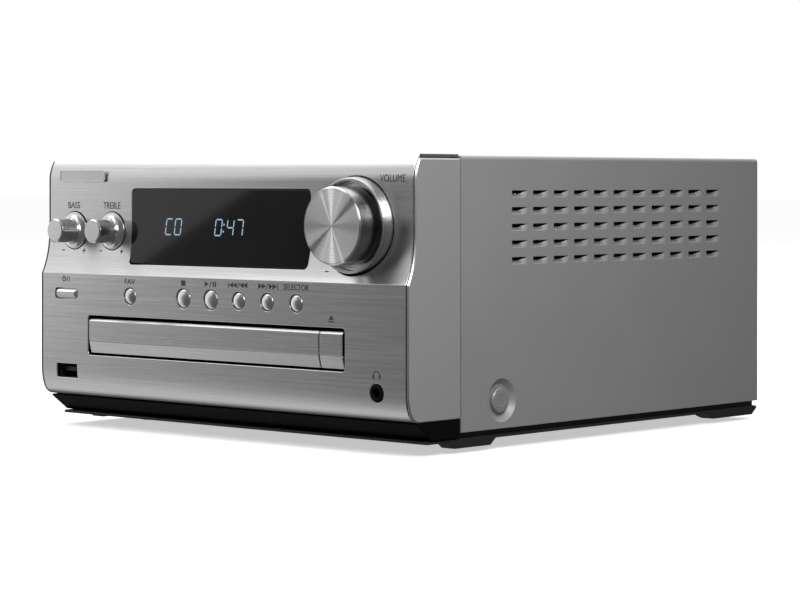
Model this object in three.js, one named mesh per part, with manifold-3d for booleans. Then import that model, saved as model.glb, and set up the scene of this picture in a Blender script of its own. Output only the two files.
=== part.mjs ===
// Compact disc receiver: the main unit of a mini hi-fi system, as separate pieces.
// Units are millimetres, with +Z up, +X to the right of the front panel and +Y to the back.
// Pieces are drawn with Y = 0 on the lower front face, and the whole is then moved so that the
// origin is below the middle of the overall box, on the floor.

import * as THREE from 'three';
import { mergeVertices } from 'three/addons/utils/BufferGeometryUtils.js';
import Module from 'manifold-3d';

const wasm = await Module();
wasm.setup();

// Overall sizes
const WIDTH = 211;
const HEIGHT = 114;
const BODY_DEPTH = 229.7;
const KNOB_REACH = 9.8;
const POST_REACH = 24.5;
const CLEARANCE = 0.3;
const JOIN = 0.5;
const LEFT = -WIDTH / 2;
const RIGHT = WIDTH / 2;

// Front panel: a brushed sheet with a flat lower face, a cove, an upper face and a top flange
const PANEL_SHEET = 1.4;
const PANEL_INSET = 1.3;
const PANEL_STEP = 4.2;
const PANEL_CREASE = HEIGHT - 49.2;
const PANEL_BOTTOM = 13.1;
const COVE_HEIGHT = 19.2;
const COVE_PULL = 8.2;
const TOP_ROLL = { height: 10, depth: 3.8, pull: 4.5 };
const BOTTOM_ROLL = { height: 12.9, depth: 6.8, pullUp: 5.4, pullBack: 1.6 };
const HEAD_DEPTH = 30;
const UPPER_FACE = PANEL_STEP;
const CUT = 1;

// Cheeks and plinth
const CHEEK_LIP = 0.8;
const CHEEK_LEDGE = 5.2;
const PLINTH = { bottom: 5.9, frontTop: 5, frontBottom: 8, wall: 2, inset: 0.3 };

// Moulded frame behind the front panel, and the board behind that
const FRAME = { front: 6, plate: 3, depth: 22, wall: 2, bottom: 15, topDrop: 3.4, side: 6.5 };
const FRAME_BACK = FRAME.front + FRAME.plate;
const BOARD = { front: 14, thickness: 1.6, bottom: 51, topDrop: 10, tongueBottom: 18 };
const SWITCH = { size: 5, height: 3.4 };

// Display window, measured from the left and right edges and from the top
const WINDOW = { left: 53.6, right: 54.9, top: 13.6, bottom: 44.3, corner: 1.8, thickness: 1.8 };
const WINDOW_FRONT = { top: UPPER_FACE + 0.1, bottom: UPPER_FACE - 1.2 };
const DISPLAY = { margin: 7, depth: 5.5 };
const NAME_PLATE = { left: 8.6, width: 28.7, height: 4.9, drop: 10.6, thickness: 0.7 };

// Rotary controls
const VOLUME = { fromRight: 30.2, drop: 27.3, radius: 15, back: 1.5, edge: 0.5, hub: 5 };
const COLLAR = { gap: 2.2, wall: 1.0, flare: 0.65, front: -0.6, floor: 3.2, thickness: 2 };
const TONE = { bassFromLeft: 17.5, trebleFromLeft: 41.2, drop: 31.1, radius: 5, face: -7.3 };
const TONE_FLANGE = { radius: 7.8, thickness: 0.8, front: 3.5 };
const TONE_RIM = 0.3;
const SHAFT_RADIUS = 3;
const SHAFT_BUSH = 5;
const CONTROL_BODY = { size: 12, depth: 3.6 };

// Push buttons along one line
const BUTTON_LINE = PANEL_CREASE - 8.5;
const BUTTON_LARGE = 4.1;
const BUTTON_SMALL = 3.6;
const BUTTON_SPACE = 0.35;
const BUTTON_TRAVEL = 0.8;
const BUTTON_PROUD = 0.7;
const BUTTON_STEM = 1.5;
const BUTTON_LIP = 0.9;
const BUTTON_PITCH = 15.95;
const STOP_X = -16.7;
const FAVOURITE_X = -48.8;
const STANDBY = { fromLeft: 16.65, length: 14.3, height: 4.8 };

// Drawer opening, with the tray front and the eject button side by side in it
const DRAWER = { bottom: 31, height: 16.6, corner: 1.5, side: 1 };
const TRAY_WIDTH = 130;
const TRAY_CENTRE = -7.35;
const TRAY_FRONT = { overlap: 1.65, bottomGap: 1, topGap: 1.4, back: 4.5, face: 0.3 };
const TRAY_CREASE = 4.85;
const TRAY_SLOPE = 1.3;
const TRAY_BEVEL = 0.9;
const EJECT = { width: 12.1, gap: 0.5 };

// Disc tray: 120 mm discs lie in a pocket, over a slot that is open to the back
const DISC_RADIUS = 60;
const POCKET = { space: 0.4, depth: 2, wall: 2.8 };
const TRAY = { bottom: 34, thickness: 4.2, back: 158, slotWidth: 38, slotFront: 18 };
const TRAY_TRAVEL = 128;

// Gears. Each tooth is thinner than its gap by the backlash.
const PRESSURE_ANGLE = THREE.MathUtils.degToRad(20);
const BACKLASH = 0.35;
const LOADING = { module: 1.25, pinionTeeth: 14, wheelTeeth: 20, motorTeeth: 8 };
const LOADING_Y = 26;
const LOADING_PIN = 1.5;
const MOTOR_SHAFT = 1;
const PIN_SPACE = 0.5;
const RACK = { inset: 10.3, width: 3.6, margin: 5 };
const WHEEL = { rise: 1, thickness: 3.6 };
const SLED = { module: 0.8, teeth: 16, thickness: 3, rise: 0.3, rackInset: 1.5, rackDepth: 4.1 };

// Loader frame, traverse and pickup
const LOADER = { front: 18, back: 168, floorBottom: 22, floor: 2, wall: 3, wallTop: 40, ledge: 3.5 };
const LOADER_SPACE = 0.5;
const LOADER_LEG = 6;
const BRIDGE = { bottom: 52, thickness: 3, width: 24 };
const CLAMPER = { radius: 14, bottom: 41.5, plate: 4, stem: 5, flange: 9, flangeThickness: 1.5 };
const TRAVERSE = { halfWidth: 40, front: 44, bottom: 25, thickness: 2, space: 2, pivotY: 148 };
const TRAVERSE_BAY = { halfWidth: 22, front: 82, back: 141 };
const LUG = { width: 3, length: 8, rise: 2.5 };
const PIVOT_RADIUS = 1.5;
const SPINDLE = { motorRadius: 12, motorHeight: 6.2, shaft: 1.2, radius: 14, top: 38.4, thickness: 4.1 };
const SPINDLE_CONE = { height: 1.6, base: 7.4, tip: 6 };
const PICKUP = { halfWidth: 16, front: 84, length: 26, bottom: 28, height: 7, lens: 3.2 };
const ROD = { offset: 20, radius: 1.5, z: 30.5 };
const ROD_BOSS = { width: 8.5, length: 20, height: 5 };
const ROD_BLOCK = { half: 2.4, length: 4 };
const SLED_Y = 110;
const PICKUP_TRAVEL = 34;
const SLED_MOTOR = { radius: 6, height: 12 };
const LOADING_MOTOR = { radius: 10, height: 15 };

// Shell
const COVER = { sheet: 1, topDrop: 0.6, bottom: 7.9, fromBack: 1.5, flange: 9.4, corner: 1.6 };
const COVER_BACK = BODY_DEPTH - COVER.fromBack;
const LOUVRE = { columns: 11, rows: 5, first: 60.4, pitch: 12.95, topDrop: 14, rise: 6.5 };
const LOUVRE_SLOT = { length: 9.1, height: 1.7 };
const DISH = { y: 54.2, z: 18.8, radius: 8.6, floorRadius: 6.3, depth: 2 };
const SCREW = { radius: 3.9, head: 1.7, shank: 1.9, length: 5 };
const REAR_PANEL = { thickness: 1.2, inset: 2, bottom: 10, topDrop: 5 };
const CHASSIS = { bottom: 4.4, sheet: 1.2, front: 12, inset: 1.3, flangeInset: 3.3, flangeTop: 27 };
const PAD = { drop: 2.6, width: 27, slope: 5 };
const FRONT_PAD = { front: 22, back: 49 };
const REAR_PAD = { front: BODY_DEPTH - 34.7, back: BODY_DEPTH - 5.7 };
const FOOT = { inset: 18, frontY: 45.7, rearY: BODY_DEPTH - 14.4, top: 4.8, sole: 2.4 };

// Inside and rear fittings
const MAIN_BOARD = { fromBack: 7.7, depth: 50, z: 12, thickness: 1.6, side: 12 };
const MAIN_BOARD_Y = [BODY_DEPTH - MAIN_BOARD.fromBack - MAIN_BOARD.depth, BODY_DEPTH - MAIN_BOARD.fromBack];
const CAPACITOR = { radius: 11, height: 34, offset: 20 };
const TRANSFORMER = { width: 46, depth: 32, height: 38, x: -70 };
const HEATSINK = { front: 80, length: 80, bottom: 16, height: 78, base: 3, fin: 1.6, reach: 24, fins: 7 };
const INLET = { x: -80, z: 27, width: 22, height: 14, flange: 2.4, depth: 16, wall: 3 };
const INLET_PIN = { radius: 1.2, spacing: 8.6 };
const TERMINALS = { x: -8, z: 30, width: 82, height: 26, thickness: 6, pitch: 18, stud: 2 };
const CAP = { radius: 6, length: 15.5, flats: 12 };
const SOCKETS = { x: 72, z: 76, width: 48, height: 22, thickness: 5, reach: 7, pitch: 14 };
const BARREL = { radius: 4.2, bore: 1.6 };
const USB = { left: 10.5, width: 12.9, height: 5.9, bottom: 20.8, shell: 0.7, back: 17, setBack: 0.9 };
const USB_TONGUE = { front: 7, thickness: 1.8 };
const JACK = { fromRight: 16.1, z: 23.9, radius: 3.2, bore: 1.8, back: 12, proud: 0.3 };

const KNOB_SEGMENTS = 30;
const ROUND_SEGMENTS = 12;
const CURVE_STEPS = 4;

// Finishes
const finish = (color, roughness, metalness) =>
  new THREE.MeshStandardMaterial({ color, roughness, metalness });
const brushedMetal = finish(0xb9b9b8, 0.35, 1);
const spunMetal = finish(0xcfcfcf, 0.25, 1);
const greyPaint = finish(0x8a8a8a, 0.6, 0.2);
const blackPlastic = finish(0x101011, 0.45, 0);
const blackSteel = finish(0x232325, 0.5, 0.4);
const glossBlack = finish(0x050506, 0.08, 0);
const darkPlastic = finish(0x2a2a2c, 0.5, 0);
const boardGreen = finish(0x1f4d33, 0.5, 0);
const bareMetal = finish(0xa5a8ab, 0.4, 1);
const rubber = finish(0x161616, 0.9, 0);
const whitePlastic = finish(0xd9d8d2, 0.5, 0);

const receiver = new THREE.Group();

// ---------------------------------------------------------------------------------------------
// Solids

// The six times volume that the triangles enclose; it is negative when they face inwards.
function enclosed(positions, index) {
  const [a, b, c] = [new THREE.Vector3(), new THREE.Vector3(), new THREE.Vector3()];
  let total = 0;
  for (let i = 0; i < index.length; i += 3) {
    a.fromArray(positions, index[i] * 3);
    b.fromArray(positions, index[i + 1] * 3);
    c.fromArray(positions, index[i + 2] * 3);
    total += a.dot(b.cross(c));
  }
  return total;
}

// A closed geometry as a solid: shared corners merged, slivers at a pole dropped, faces outwards.
function solidOf(geometry) {
  const bare = geometry.clone();
  bare.deleteAttribute('normal');
  bare.deleteAttribute('uv');
  const merged = mergeVertices(bare, 1e-4);
  const positions = new Float32Array(merged.attributes.position.array);
  const source = merged.index.array;
  const kept = [];
  for (let i = 0; i < source.length; i += 3) {
    const [a, b, c] = [source[i], source[i + 1], source[i + 2]];
    if (a !== b && b !== c && c !== a) kept.push(a, b, c);
  }
  if (enclosed(positions, kept) < 0) kept.reverse();
  const mesh = new wasm.Mesh({ numProp: 3, vertProperties: positions, triVerts: new Uint32Array(kept) });
  return new wasm.Manifold(mesh);
}

function union(solids) {
  return solids.reduce((whole, part) => whole.add(part));
}

function without(solid, cuts) {
  return cuts.reduce((rest, cut) => rest.subtract(cut), solid);
}

// Puts a solid in the receiver as a named mesh.
function piece(name, solid, material) {
  const { vertProperties, triVerts } = solid.getMesh();
  const geometry = new THREE.BufferGeometry();
  geometry.setAttribute('position', new THREE.BufferAttribute(new Float32Array(vertProperties), 3));
  geometry.setIndex(new THREE.BufferAttribute(new Uint32Array(triVerts), 1));
  geometry.computeVertexNormals();
  const mesh = new THREE.Mesh(geometry, material);
  mesh.name = name;
  receiver.add(mesh);
}

// A range's mirror image, for pieces on the left side.
const onSide = (side, [near, far]) => (side > 0 ? [near, far] : [-far, -near]);

function box([x0, x1], [y0, y1], [z0, z1]) {
  const geometry = new THREE.BoxGeometry(x1 - x0, y1 - y0, z1 - z0);
  return solidOf(geometry.translate((x0 + x1) / 2, (y0 + y1) / 2, (z0 + z1) / 2));
}

function extruded(shape, depth) {
  return new THREE.ExtrudeGeometry(shape, { depth, bevelEnabled: false, curveSegments: CURVE_STEPS });
}

// A shape drawn in Y and Z, carried along X.
function alongX(shape, [x0, x1]) {
  const turn = new THREE.Matrix4().makeBasis(
    new THREE.Vector3(0, 1, 0),
    new THREE.Vector3(0, 0, 1),
    new THREE.Vector3(1, 0, 0),
  );
  return solidOf(extruded(shape, x1 - x0).applyMatrix4(turn).translate(x0, 0, 0));
}

// A shape drawn in X and Z, carried along Y.
function alongY(shape, [y0, y1]) {
  return solidOf(extruded(shape, y1 - y0).rotateX(Math.PI / 2).translate(0, y1, 0));
}

// A shape drawn in X and Y about a place, carried along Z.
function alongZ(shape, [z0, z1], [x, y] = [0, 0]) {
  return solidOf(extruded(shape, z1 - z0).translate(x, y, z0));
}

const polygon = (points) => new THREE.Shape(points.map(([u, v]) => new THREE.Vector2(u, v)));

function roundedRectangle([u0, u1], [v0, v1], r) {
  const shape = new THREE.Shape();
  shape.moveTo(u0 + r, v0);
  shape.lineTo(u1 - r, v0);
  shape.absarc(u1 - r, v0 + r, r, -Math.PI / 2, 0);
  shape.lineTo(u1, v1 - r);
  shape.absarc(u1 - r, v1 - r, r, 0, Math.PI / 2);
  shape.lineTo(u0 + r, v1);
  shape.absarc(u0 + r, v1 - r, r, Math.PI / 2, Math.PI);
  shape.lineTo(u0, v0 + r);
  shape.absarc(u0 + r, v0 + r, r, Math.PI, Math.PI * 1.5);
  return shape;
}

function lathe(profile, segments) {
  return new THREE.LatheGeometry(profile.map(([r, h]) => new THREE.Vector2(r, h)), segments);
}

// A profile of radius and Y turned about an axis that runs front to back.
function turnedY(profile, [x, z], segments = ROUND_SEGMENTS) {
  return solidOf(lathe(profile, segments).translate(x, 0, z));
}

// A profile of radius and Z turned about an upright axis.
function turnedZ(profile, [x, y], segments = ROUND_SEGMENTS) {
  return solidOf(lathe(profile, segments).rotateX(Math.PI / 2).translate(x, y, 0));
}

// A profile of radius and X turned about an axis that runs across.
function turnedX(profile, [y, z], segments = ROUND_SEGMENTS) {
  return solidOf(lathe(profile, segments).rotateZ(-Math.PI / 2).translate(0, y, z));
}

const rod = (radius, [from, to]) => [[0, from], [radius, from], [radius, to], [0, to]];

// ---------------------------------------------------------------------------------------------
// Front panel section, in Y and Z from the back of the top flange round to the bottom roll

function panelOutline() {
  const path = new THREE.Path();
  path.moveTo(HEAD_DEPTH, HEIGHT);
  path.lineTo(PANEL_STEP + TOP_ROLL.depth, HEIGHT);
  path.quadraticCurveTo(PANEL_STEP, HEIGHT - TOP_ROLL.pull, PANEL_STEP, HEIGHT - TOP_ROLL.height);
  path.lineTo(PANEL_STEP, PANEL_CREASE + COVE_HEIGHT);
  path.quadraticCurveTo(PANEL_STEP, PANEL_CREASE + COVE_PULL, 0, PANEL_CREASE);
  path.lineTo(0, PANEL_BOTTOM + BOTTOM_ROLL.height);
  path.bezierCurveTo(
    0,
    PANEL_BOTTOM + BOTTOM_ROLL.pullUp,
    BOTTOM_ROLL.pullBack,
    PANEL_BOTTOM,
    BOTTOM_ROLL.depth,
    PANEL_BOTTOM,
  );
  return path.getPoints(CURVE_STEPS);
}

// Moves each point of an open outline inwards by a distance, square to the outline.
function insetOutline(points, distance) {
  const directions = points.slice(1).map((point, i) => point.clone().sub(points[i]).normalize());
  return points.map((point, i) => {
    const before = directions[Math.max(i - 1, 0)];
    const after = directions[Math.min(i, directions.length - 1)];
    const mean = before.clone().add(after).normalize();
    const reach = distance / mean.dot(after);
    return new THREE.Vector2(point.x - mean.y * reach, point.y + mean.x * reach);
  });
}

const outline = panelOutline();
const panelHalf = RIGHT - PANEL_INSET;

// The region behind the outline, closed at the back of the head.
function behindPanel(inset) {
  const edge = insetOutline(outline, inset);
  const last = edge[edge.length - 1];
  return new THREE.Shape([...edge, new THREE.Vector2(HEAD_DEPTH, last.y)]);
}

// ---------------------------------------------------------------------------------------------
// Places that several pieces share

const volumeAt = [RIGHT - VOLUME.fromRight, HEIGHT - VOLUME.drop];
const bassAt = [LEFT + TONE.bassFromLeft, HEIGHT - TONE.drop];
const trebleAt = [LEFT + TONE.trebleFromLeft, HEIGHT - TONE.drop];
const collarInner = VOLUME.radius + COLLAR.gap;
const collarFront = collarInner + COLLAR.wall;
const collarOuter = collarFront + COLLAR.flare;
const panelVolumeHole = collarOuter + CLEARANCE;
const panelToneHole = TONE_FLANGE.radius + TONE_RIM;
const windowX = [LEFT + WINDOW.left, RIGHT - WINDOW.right];
const windowZ = [HEIGHT - WINDOW.bottom, HEIGHT - WINDOW.top];
const grow = ([a, b], by) => [a - by, b + by];
const centre = ([a, b]) => (a + b) / 2;
const throughPanel = [-20, FRAME_BACK + 5];
const roundHole = (radius, at, span = throughPanel, segments = ROUND_SEGMENTS) =>
  turnedY(rod(radius, span), at, segments);

const roundButtons = [
  { name: 'favourite_button', x: FAVOURITE_X, radius: BUTTON_SMALL },
  { name: 'stop_button', x: STOP_X, radius: BUTTON_LARGE },
  { name: 'play_button', x: STOP_X + BUTTON_PITCH, radius: BUTTON_LARGE },
  { name: 'skip_back_button', x: STOP_X + BUTTON_PITCH * 2, radius: BUTTON_SMALL },
  { name: 'skip_forward_button', x: STOP_X + BUTTON_PITCH * 3, radius: BUTTON_SMALL },
  { name: 'selector_button', x: STOP_X + BUTTON_PITCH * 4, radius: BUTTON_SMALL },
];
const standbyX = LEFT + STANDBY.fromLeft;

const trayHalf = TRAY_WIDTH / 2;
const trayX = [TRAY_CENTRE - trayHalf, TRAY_CENTRE + trayHalf];
const trayFrontX = grow(trayX, TRAY_FRONT.overlap);
const ejectX = [trayFrontX[1] + EJECT.gap, trayFrontX[1] + EJECT.gap + EJECT.width];
const drawerX = [trayFrontX[0] - DRAWER.side, ejectX[1] + DRAWER.side];
const drawerZ = [DRAWER.bottom, DRAWER.bottom + DRAWER.height];
const usbX = [LEFT + USB.left, LEFT + USB.left + USB.width];
const usbZ = [USB.bottom, USB.bottom + USB.height];
const jackAt = [RIGHT - JACK.fromRight, JACK.z];
const switchFront = BOARD.front - SWITCH.height;
const stemBack = switchFront - BUTTON_TRAVEL - CLEARANCE;
const standbyHalf = STANDBY.height / 2;
const standbyShape = (space) =>
  roundedRectangle(
    [standbyX - STANDBY.length / 2 - space, standbyX + STANDBY.length / 2 + space],
    [BUTTON_LINE - standbyHalf - space, BUTTON_LINE + standbyHalf + space],
    standbyHalf + space - 0.01,
  );

// ---------------------------------------------------------------------------------------------
// Front panel, cheeks, plinth, frame, window, display, boards

function frontPanel() {
  const inner = insetOutline(outline, PANEL_SHEET).reverse();
  const sheet = alongX(new THREE.Shape([...outline, ...inner]), [-panelHalf, panelHalf]);
  const window = roundedRectangle(
    grow(windowX, CLEARANCE),
    grow(windowZ, CLEARANCE),
    WINDOW.corner + CLEARANCE,
  );
  return without(sheet, [
    alongY(window, throughPanel),
    alongY(roundedRectangle(drawerX, drawerZ, DRAWER.corner), throughPanel),
    alongY(standbyShape(0), throughPanel),
    box(usbX, throughPanel, usbZ),
    roundHole(JACK.radius + CLEARANCE, jackAt),
    roundHole(panelVolumeHole, volumeAt, throughPanel, KNOB_SEGMENTS),
    roundHole(panelToneHole, bassAt, throughPanel, KNOB_SEGMENTS),
    roundHole(panelToneHole, trebleAt, throughPanel, KNOB_SEGMENTS),
    ...roundButtons.map(({ x, radius }) => roundHole(radius, [x, BUTTON_LINE])),
  ]);
}

// A thin lip stands beside the panel's edge, and a ledge runs behind the panel.
function cheek(side) {
  const top = HEIGHT - PANEL_SHEET - CLEARANCE;
  const lip = alongX(behindPanel(0), onSide(side, [RIGHT - CHEEK_LIP, RIGHT]));
  const ledgeSpan = onSide(side, [RIGHT - CHEEK_LIP - CHEEK_LEDGE, RIGHT - CHEEK_LIP]);
  const ledge = alongX(behindPanel(PANEL_SHEET + CLEARANCE), ledgeSpan);
  const above = box([LEFT - 1, RIGHT + 1], [-20, HEAD_DEPTH + 1], [top, HEIGHT + 5]);
  return lip.add(ledge).subtract(above);
}

function plinth() {
  const top = PANEL_BOTTOM - CLEARANCE;
  const half = RIGHT - PLINTH.inset;
  const section = polygon([
    [PLINTH.frontTop, top],
    [PLINTH.frontBottom, PLINTH.bottom],
    [HEAD_DEPTH, PLINTH.bottom],
    [HEAD_DEPTH, top],
  ]);
  const hollow = box(
    [-half + PLINTH.wall, half - PLINTH.wall],
    [PLINTH.frontBottom + PLINTH.wall, HEAD_DEPTH + 1],
    [PLINTH.bottom - 1, top + 1],
  );
  return alongX(section, [-half, half]).subtract(hollow);
}

function controlBushHoles() {
  const span = [FRAME.front - 1, FRAME_BACK + 1];
  return [volumeAt, bassAt, trebleAt].map((at) => roundHole(SHAFT_BUSH + CLEARANCE, at, span));
}

function fasciaFrame() {
  const half = RIGHT - FRAME.side;
  const top = HEIGHT - FRAME.topDrop;
  const back = FRAME.front + FRAME.depth;
  const slab = box([-half, half], [FRAME.front, back], [FRAME.bottom, top]);
  const block = slab.intersect(alongX(behindPanel(PANEL_SHEET + CLEARANCE), [-half, half]));
  const hollow = box(
    [-half + FRAME.wall, half - FRAME.wall],
    [FRAME_BACK, back + 1],
    [FRAME.bottom - 1, top - FRAME.wall],
  );
  const span = [FRAME.front - 1, FRAME_BACK + 1];
  const stems = [...roundButtons.map(({ x }) => x), standbyX];
  return without(block, [
    hollow,
    box(grow(windowX, 1 - DISPLAY.margin), span, grow(windowZ, -2)),
    box(grow(drawerX, 0.4), span, grow(drawerZ, 0.4)),
    box(grow(usbX, USB.shell + 0.6), span, grow(usbZ, USB.shell + 0.6)),
    roundHole(JACK.radius + 0.6, jackAt, span),
    ...controlBushHoles(),
    ...stems.map((x) => roundHole(BUTTON_STEM + 0.5, [x, BUTTON_LINE], span)),
  ]);
}

// A plate with rounded corners that leans forward at the bottom with the cove.
function displayWindow() {
  const back = WINDOW.thickness;
  const section = polygon([
    [WINDOW_FRONT.top, windowZ[1]],
    [WINDOW_FRONT.bottom, windowZ[0]],
    [WINDOW_FRONT.bottom + back, windowZ[0]],
    [WINDOW_FRONT.top + back - 0.4, windowZ[1]],
  ]);
  const plate = alongX(section, windowX);
  return plate.intersect(alongY(roundedRectangle(windowX, windowZ, WINDOW.corner), throughPanel));
}

function displayModule() {
  const front = FRAME.front + CLEARANCE;
  return box(
    grow(windowX, -DISPLAY.margin),
    [front, front + DISPLAY.depth],
    grow(windowZ, -3),
  );
}

// Switches stand on the board behind the buttons, and a tongue reaches down past the drawer.
function frontBoard() {
  const back = BOARD.front + BOARD.thickness;
  const half = RIGHT - FRAME.side - FRAME.wall - CLEARANCE;
  const upper = box([-half, half], [BOARD.front, back], [BOARD.bottom, HEIGHT - BOARD.topDrop]);
  const tongueLeft = trayX[1] + LOADER_SPACE + LOADER.wall + 1;
  const tongue = box([tongueLeft, half], [BOARD.front, back], [BOARD.tongueBottom, BOARD.bottom]);
  const places = [...roundButtons.map(({ x }) => [x, BUTTON_LINE]), [standbyX, BUTTON_LINE]];
  places.push([centre(ejectX), centre(drawerZ)]);
  const reach = SWITCH.size / 2;
  const switches = places.map(([x, z]) =>
    box([x - reach, x + reach], [switchFront, BOARD.front + 0.5], [z - reach, z + reach]),
  );
  return union([upper, tongue, ...switches]);
}

function namePlate() {
  const back = UPPER_FACE - CLEARANCE;
  const x0 = LEFT + NAME_PLATE.left;
  const z1 = HEIGHT - NAME_PLATE.drop + NAME_PLATE.height;
  const shape = roundedRectangle(
    [x0, x0 + NAME_PLATE.width],
    [z1 - NAME_PLATE.height, z1],
    NAME_PLATE.height / 5,
  );
  return alongY(shape, [back - NAME_PLATE.thickness, back]);
}

// ---------------------------------------------------------------------------------------------
// Rotary controls

function volumeKnob() {
  const r = VOLUME.radius;
  const face = -KNOB_REACH;
  const bore = SHAFT_RADIUS + CLEARANCE;
  return turnedY(
    [
      [0, face],
      [r - VOLUME.edge, face],
      [r, face + VOLUME.edge],
      [r, VOLUME.back],
      [r - 1.5, VOLUME.back],
      [r - 1.5, face + 3],
      [VOLUME.hub, face + 3],
      [VOLUME.hub, VOLUME.back],
      [bore, VOLUME.back],
      [bore, face + 4],
      [0, face + 4],
    ],
    volumeAt,
    KNOB_SEGMENTS,
  );
}

function volumeCollar() {
  const seat = UPPER_FACE + PANEL_SHEET;
  return turnedY(
    [
      [SHAFT_BUSH + CLEARANCE, COLLAR.floor],
      [collarInner, COLLAR.floor],
      [collarInner, COLLAR.front],
      [collarFront, COLLAR.front],
      [collarOuter, UPPER_FACE],
      [collarOuter, seat],
      [SHAFT_BUSH + CLEARANCE, seat],
      [SHAFT_BUSH + CLEARANCE, COLLAR.floor],
    ],
    volumeAt,
    KNOB_SEGMENTS,
  );
}

// Each tone knob is a narrow barrel that flares like a trumpet into a thin flange.
function toneKnob(at) {
  const { radius: r, face } = TONE;
  const { radius: flange, front, thickness } = TONE_FLANGE;
  const back = front + thickness;
  const bore = SHAFT_RADIUS - 1 + CLEARANCE;
  const flare = new THREE.QuadraticBezierCurve(
    new THREE.Vector2(r, front - 4),
    new THREE.Vector2(r, front),
    new THREE.Vector2(flange, front),
  );
  return turnedY(
    [
      [0, face],
      [r - 0.5, face],
      [r, face + 0.5],
      ...flare.getPoints(5).map(({ x, y }) => [x, y]),
      [flange, back],
      [bore, back],
      [bore, face + 2],
      [0, face + 2],
    ],
    at,
    KNOB_SEGMENTS,
  );
}

// A housing on the board, its threaded bush, and the fixed part of its shaft
function controlBody(at, shaft, tip) {
  const [x, z] = at;
  const half = CONTROL_BODY.size / 2;
  const front = BOARD.front - CLEARANCE - CONTROL_BODY.depth;
  const body = box([x - half, x + half], [front, BOARD.front - CLEARANCE], [z - half, z + half]);
  const bush = turnedY(rod(SHAFT_BUSH - 0.4, [FRAME.front + 0.4, front + 0.5]), at);
  const stem = turnedY(rod(shaft, [tip, front + 0.5]), at);
  return union([body, bush, stem]);
}

// ---------------------------------------------------------------------------------------------
// Buttons

function roundButton({ x, radius }) {
  const r = radius - BUTTON_SPACE;
  const back = PANEL_SHEET + CLEARANCE;
  return turnedY(
    [
      [0, -BUTTON_PROUD],
      [r * 0.6, -BUTTON_PROUD * 0.8],
      [r * 0.9, -BUTTON_PROUD * 0.3],
      [r, 0.2],
      [r, back],
      [r + BUTTON_LIP, back],
      [r + BUTTON_LIP, back + 1.2],
      [BUTTON_STEM, back + 1.2],
      [BUTTON_STEM, stemBack],
      [0, stemBack],
    ],
    [x, BUTTON_LINE],
  );
}

function standbyButton() {
  const back = PANEL_SHEET + CLEARANCE;
  const cap = alongY(standbyShape(-BUTTON_SPACE), [-BUTTON_PROUD, back + 0.2]);
  const lip = alongY(standbyShape(BUTTON_LIP - BUTTON_SPACE), [back, back + 1.2]);
  const stem = turnedY(rod(BUTTON_STEM, [back + 1, stemBack]), [standbyX, BUTTON_LINE]);
  return union([cap, lip, stem]);
}

// The tray front and the eject button have one section: bevelled top, upright face, sloped foot.
function drawerSection() {
  const bottom = drawerZ[0] + TRAY_FRONT.bottomGap;
  const top = drawerZ[1] - TRAY_FRONT.topGap;
  return polygon([
    [TRAY_FRONT.face + TRAY_SLOPE, bottom],
    [TRAY_FRONT.face, bottom + TRAY_CREASE],
    [TRAY_FRONT.face, top - TRAY_BEVEL],
    [TRAY_FRONT.face + TRAY_BEVEL, top],
    [TRAY_FRONT.back, top],
    [TRAY_FRONT.back, bottom],
  ]);
}

function ejectButton() {
  const cap = alongX(drawerSection(), ejectX);
  const stem = turnedY(
    rod(BUTTON_STEM, [TRAY_FRONT.back - 0.5, stemBack]),
    [centre(ejectX), centre(drawerZ)],
  );
  return cap.add(stem);
}

// ---------------------------------------------------------------------------------------------
// Gears

// Half the angle of an involute tooth at a radius; below the base circle it stays as it is there.
function halfToothAngle(teeth, module, radius) {
  const pitch = (teeth * module) / 2;
  const base = pitch * Math.cos(PRESSURE_ANGLE);
  const involute = (angle) => Math.tan(angle) - angle;
  const here = Math.acos(Math.min(base / radius, 1));
  return Math.PI / (2 * teeth) - BACKLASH / 4 / pitch + involute(PRESSURE_ANGLE) - involute(here);
}

function gearShape(teeth, module, phase, bore) {
  const pitch = (teeth * module) / 2;
  const radii = [pitch - 1.25 * module, pitch, pitch + 0.9 * module];
  const flank = radii.map((r) => [r, halfToothAngle(teeth, module, r)]);
  const points = [];
  for (let k = 0; k < teeth; k += 1) {
    const middle = phase + (2 * Math.PI * k) / teeth;
    for (const [r, half] of flank) points.push([r, middle - half]);
    for (const [r, half] of [...flank].reverse()) points.push([r, middle + half]);
  }
  const shape = polygon(points.map(([r, angle]) => [r * Math.cos(angle), r * Math.sin(angle)]));
  const hole = new THREE.Path();
  hole.absarc(0, 0, bore, 0, Math.PI * 2, true);
  shape.holes.push(hole);
  return shape;
}

// A rack along Y with teeth towards +X. A gap is centred on meshY, where its gear's tooth stands.
function rackShape(module, pitchX, backX, [y0, y1], meshY) {
  const step = Math.PI * module;
  const slope = Math.tan(PRESSURE_ANGLE) * module;
  const half = step / 4 - BACKLASH / 4;
  const root = pitchX - 1.25 * module;
  const tip = pitchX + 0.9 * module;
  const points = [[backX, y1], [backX, y0]];
  const first = Math.ceil((y0 - meshY) / step);
  for (let k = first; meshY + (k + 1) * step <= y1; k += 1) {
    const y = meshY + (k + 0.5) * step;
    points.push([root, y - half - slope * 1.25], [tip, y - half + slope * 0.9]);
    points.push([tip, y + half - slope * 0.9], [root, y + half + slope * 1.25]);
  }
  points.splice(2, 0, [root, y0]);
  points.push([root, y1]);
  return polygon(points);
}

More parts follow.
